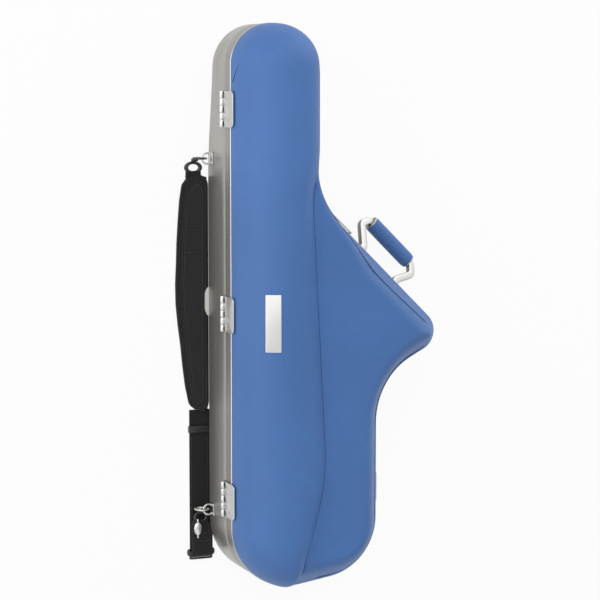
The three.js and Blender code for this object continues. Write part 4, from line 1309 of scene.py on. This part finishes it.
def puff(made):
    """Blows a soft piece up like a filled cover, holds it to a small movement and keeps it off the floor."""
    start = np.array([v.co for v in made.data.vertices])
    cloth = made.modifiers.new("Cover", "CLOTH")
    for key, value in COVER.items():
        setattr(cloth.settings, key, value)
    cloth.settings.effector_weights.gravity = 0
    cloth.point_cache.frame_start = 1
    cloth.point_cache.frame_end = PUFF_STEPS
    for number in range(1, PUFF_STEPS + 1):
        bpy.context.scene.frame_set(number)
    take(made)
    bpy.ops.object.modifier_apply(modifier=cloth.name)
    bpy.context.scene.frame_set(1)
    moved = np.array([v.co for v in made.data.vertices]) - start
    length = np.linalg.norm(moved, axis=1)
    moved *= (np.minimum(length, PUFF_MOST * MM) / np.maximum(length, 1e-9))[:, None]
    for vertex, spot in zip(made.data.vertices, start + moved):
        vertex.co = (spot[0], spot[1], max(spot[2], OFF_FLOOR * MM))


class CASE_OT_pad(bpy.types.Operator):
    """Builds the stuffed shoulder pad with its binding, panel, patch and stitches"""
    bl_idname = "sax_case.pad"
    bl_label = "Shoulder pad"

    def execute(self, context):
        sizes = context.scene.case_sizes
        tips = ((1, 0.55, 0.5), (3, 0.8, 0.74))
        rows = [pad_row(PAD_LOW + y, pad_reach(PAD_LOW) * share, thick) for y, share, thick in tips]
        rows += [pad_row(y, pad_reach(y) - 1.2, 0.9) for y in np.linspace(PAD_LOW + 8, PAD_HIGH - 8, 60)]
        rows += [pad_row(PAD_HIGH - y, pad_reach(PAD_HIGH) * share, thick) for y, share, thick in tips[::-1]]
        pad = outward(piece("strap_pad_cover", *ring_skin(rows, capped=True), 60))
        modify(pad, "REMESH", mode="VOXEL", voxel_size=4.0 * MM)
        puff(pad)
        modify(pad, "SUBSURF", levels=1, render_levels=1)
        dress(smooth(pad, 70), "base", "pad", "strap_pad")

        centres = np.array([face.center for face in pad.data.polygons])[:, :2] / MM
        border = edge_distance(centres, pad_ring(0.0)[:-1]) < PAD_BORDER
        second_finish(pad, "nylon", lambda face: border[face.index])
        edge = pad_ring(BINDING_IN)[:-1]
        rim = tube("strap_pad_binding", np.column_stack([edge, np.full(len(edge), PAD_HALF)]), BINDING, 12, True)
        rim.data.transform(shift(z=-0.35 * PAD_HALF) @ Matrix.Diagonal((1, 1, 1.35, 1)))
        dress(rim, "base", "nylon")
        context.view_layer.update()
        dress(tube("strap_pad_panel_piping", on_piece(pad, pad_ring(PANEL_IN), -0.5), PANEL_PIPING), "base", "nylon")
        stitches = [stitch_row(on_piece(pad, pad_ring(PANEL_STITCH_IN)), sizes)]
        for number, y in enumerate(PATCH_LINES):
            line = np.linspace((PAD_SIDE - 9, y), (PAD_SIDE - pad_reach(y) + 9, y), 12)
            dress(tube(f"strap_pad_patch_edge_{number}", on_piece(pad, line, -0.3), PATCH_PIPING), "base", "nylon")
            if number % 2 == 0:
                stitches.append(stitch_row(on_piece(pad, line + (0, -2.2)), sizes))
        dress(piece("strap_pad_stitching", *gather(stitches)), "base", "black_thread")
        return {"FINISHED"}


WEB_X, WEB_LEVEL, WEB_END, WEB_TURN = -81.0, 2.2, -388.0, 5.1
WEB_TOP, WEB_BACK, WEB_THICK, WEB_HALF = -163.5, -341.0, 2.4, 17.0
WEB_LOW_SEAM, WEB_HIGH_SEAM = 3.4, 13.6
WEB_BOX = ((-12, -352), (12, -368), (12, -352), (-12, -368), (-12, -352), (12, -352), (-12, -368), (12, -368))
WEB_STITCH, END_BAR, END_BAR_HALF, SLIDER_AT = 13.2, 3.6, 20, -194.0


class CASE_OT_webbing(bpy.types.Operator):
    """Builds the webbing with its slider and end bar"""
    bl_idname = "sax_case.webbing"
    bl_label = "Webbing"

    def execute(self, context):
        path = [(y, WEB_LEVEL) for y in np.linspace(WEB_TOP, WEB_END, 60)]
        path += [(WEB_END - WEB_TURN * sin(a), WEB_LEVEL + WEB_TURN * (1 - cos(a)))
                 for a in np.linspace(0, pi, 16)[1:]]
        path += [(y, WEB_LEVEL + 2 * WEB_TURN) for y in np.linspace(WEB_END, WEB_BACK, 14)[1:]]
        web = sweep("strap_webbing_band", path, rounded_section(WEB_THICK / 2, WEB_HALF, 0.25, 20), 50)
        web.data.transform(frame_at(WEB_X + 0.7, 0, 0, pi / 2))
        dress(outward(web), "base", "nylon", "strap_webbing")
        lines = [((side, start, z), (side, end, z)) for side in (-WEB_STITCH, WEB_STITCH)
                 for start, end, z in ((-206, -384, WEB_LOW_SEAM), (-386, -343, WEB_HIGH_SEAM))]
        lines += [((*start, WEB_HIGH_SEAM), (*end, WEB_HIGH_SEAM)) for start, end in zip(WEB_BOX[::2], WEB_BOX[1::2])]
        rows = [stitch_row(np.array(line) + (WEB_X, 0, 0), context.scene.case_sizes) for line in lines]
        dress(piece("strap_webbing_stitching", *gather(rows)), "base", "black_thread")

        z = WEB_LEVEL + WEB_TURN
        bar = [rod(END_BAR, (WEB_X - END_BAR_HALF, WEB_END, z), (WEB_X + END_BAR_HALF, WEB_END, z), 0.5),
               block((33, 3, 4.6), (WEB_X, WEB_END - 8.3, z), 1.2)]
        for side in (-1, 1):
            bar += [ball((3.2, 5.6, 4.6), (WEB_X + side * 19.4, WEB_END + 1.5, z), 24),
                    block((3, 9, 4), (WEB_X + side * 17.2, WEB_END - 5, z), 1.0)]
        dress(fuse("strap_end_bar_metal", *bar), "base", "black_metal", "strap_end_bar")
        slot = block((32.6, 30, 3.0), (WEB_X, SLIDER_AT, 2.2))
        slider = cut(block((36, 11, 6.3), (WEB_X, SLIDER_AT, 3.15), 1.3, 4), slot)
        ridges = [rod(0.7, (WEB_X - 15, SLIDER_AT + y, 6.1), (WEB_X + 15, SLIDER_AT + y, 6.1), 0.3, 12)
                  for y in (-2.6, 0, 2.6)]
        dress(fuse("strap_slider_metal", slider, *ridges), "base", "black_metal", "strap_slider")
        return {"FINISHED"}


# Each clip: its place along the wall, its ring's place, wire and stretch, the end of its tab and the hook's finish
CLIPS = {"strap_top": (225.0, -90.0, 6.0, 2.3, 1.5, 188.0, "black_metal"),
         "strap_low": (-316.0, -83.0, 12.4, 1.9, 1.2, -356.5, "bright")}
HOOK_X, HOOK_Z, HOOK_HIGH = -85.2, 20.4, 12.0
STAPLE, STAPLE_WIRE, HOOK, HOOK_WIRE, RING, RING_ROOM = 8.0, 1.5, 8.5, 1.7, 7.5, 2.5
SNAP_X, SNAP_Z = -89.0, 17.4


class CASE_OT_clips(bpy.types.Operator):
    """Builds the clip at each end of the strap: plate with its staple, snap hook, ring and sewn tab"""
    bl_idname = "sax_case.clips"
    bl_label = "Clips"

    def execute(self, context):
        for name, (y, ring_x, ring_z, wire, stretch, end, look) in CLIPS.items():
            base = settle(slab(four(10, 19, 37, 3, 3), PLATE, EDGE, WALL_OUT), shift(y=y) @ WALL)
            heads = [ball((0.9, 1.9, 1.9), (-70.2, y + side * 6.6, 33.4), 20) for side in (-1, 1)]
            plate = fuse(f"{name}_anchor_metal", base, ring_of(STAPLE, STAPLE_WIRE, (-75.3, y, 28)), *heads, angle=35)
            dress(plate, "base", "bright", f"{name}_anchor")

            loop = ring_of(HOOK, HOOK_WIRE, (HOOK_X, y, HOOK_Z), "Y", (1, HOOK_HIGH / HOOK, 1))
            low, high = sorted((ring_z, HOOK_Z - HOOK_HIGH))
            shank = block((abs(ring_x - HOOK_X) + 4.4, 5.0, high - low + 4.4),
                          ((ring_x + HOOK_X) / 2, y - 2.5, (low + high) / 2), 1.3)
            swivel = rod(3.0, (ring_x, y - 5.2, ring_z), (ring_x, y - 1.0, ring_z), 0.6, 24)
            hook = fuse(f"{name}_hook_metal", loop, shank, swivel, angle=45)
            dress(hook, "base", look, f"{name}_hook", slot="bright_metal")
            gate = rod(1.9, (-76.9, y, 15.5), (-76.9, y, 25.5), 0.6, 20)
            knob = ball((2.2, 2.2, 2.2), (-75.6, y, 25.0), 16)
            dress(fuse(f"{name}_gate_metal", gate, knob, angle=50), "base", "silver")

            ring_y = y - 14.5
            centre = (ring_x, ring_y, ring_z)
            ring = ring_of(RING, wire, centre, "Z", (stretch, 1, 1))
            dress(fuse(f"{name}_ring_metal", ring, angle=60), "base", "black_metal", f"{name}_ring")
            tab = block((24, ring_y - 5.0 - end, 6.2), (ring_x, (ring_y - 5.0 + end) / 2, ring_z), 1.6, 4)
            cut(tab, ring_of(RING, RING_ROOM, centre, "Z", (stretch, 1, 1)))
            fold = block((24.4, 1.6, 6.6), (ring_x, ring_y - 13.5, ring_z), 0.5)
            dress(fuse(f"{name}_tab_web", tab, fold, angle=40), "base", "nylon", f"{name}_tab")
            if look == "bright":
                snap_y = ring_y - 17
                snap = [ball((6.2, 10.5, 3.4), (SNAP_X, snap_y, SNAP_Z))]
                for side in (-1, 1):
                    tip = [(SNAP_X, snap_y + side * far, SNAP_Z - low) for far, low in ((9, 0.2), (15, 0.4))]
                    snap += [rod(1.5, *tip, 0.6, 16), ball((1.0, 1.0, 0.8), (SNAP_X, snap_y + side * 3, 20.6), 12)]
                dress(fuse(f"{name}_snap_metal", *snap, angle=50), "base", "bright")
        return {"FINISHED"}


# Foam inside

class CASE_OT_inside(bpy.types.Operator):
    """Softens the foam blocks that hold the instrument"""
    bl_idname = "sax_case.inside"
    bl_label = "Foam blocks"

    def execute(self, context):
        for node in ("neck_end_block", "bow_end_block", "bell_block", "lid_bell_pad"):
            foam = twin(bpy.data.objects[node], f"{node}_foam", Matrix.Identity(4))
            for collection in list(foam.users_collection):
                collection.objects.unlink(foam)
            context.scene.collection.objects.link(foam)
            foam.parent = None
            foam.modifiers.clear()
            modify(foam, "REMESH", mode="VOXEL", voxel_size=2.2 * MM)
            modify(foam, "SMOOTH", factor=0.5, iterations=8)
            dress(smooth(foam, 70), "lid" if node.startswith("lid") else "base", "foam", node)
        return {"FINISHED"}


class CASE_PT_panel(bpy.types.Panel):
    """Lists the steps and the sizes and colours"""
    bl_label = "Sax Case"
    bl_idname = "CASE_PT_panel"
    bl_space_type = "VIEW_3D"
    bl_region_type = "UI"
    bl_category = "Sax Case"

    def draw(self, context):
        for step in STEPS:
            self.layout.operator(step.bl_idname)
        for group in (context.scene.case_sizes, context.scene.case_finishes):
            for key in group.__annotations__:
                self.layout.prop(group, key)


STEPS = (CASE_OT_stage, CASE_OT_base, CASE_OT_lid, CASE_OT_hinges, CASE_OT_latches, CASE_OT_handle, CASE_OT_trim,
         CASE_OT_pad, CASE_OT_webbing, CASE_OT_clips, CASE_OT_inside)
CLASSES = (CaseFinishes, CaseSizes, *STEPS, CASE_PT_panel)


def register():
    for each in CLASSES:
        bpy.utils.register_class(each)
    bpy.types.Scene.case_finishes = bpy.props.PointerProperty(type=CaseFinishes)
    bpy.types.Scene.case_sizes = bpy.props.PointerProperty(type=CaseSizes)


def unregister():
    del bpy.types.Scene.case_sizes
    del bpy.types.Scene.case_finishes
    for each in reversed(CLASSES):
        bpy.utils.unregister_class(each)


def main():
    register()
    for step in STEPS:
        getattr(bpy.ops.sax_case, step.bl_idname.split(".")[1])()


if __name__ == "__main__":
    main()
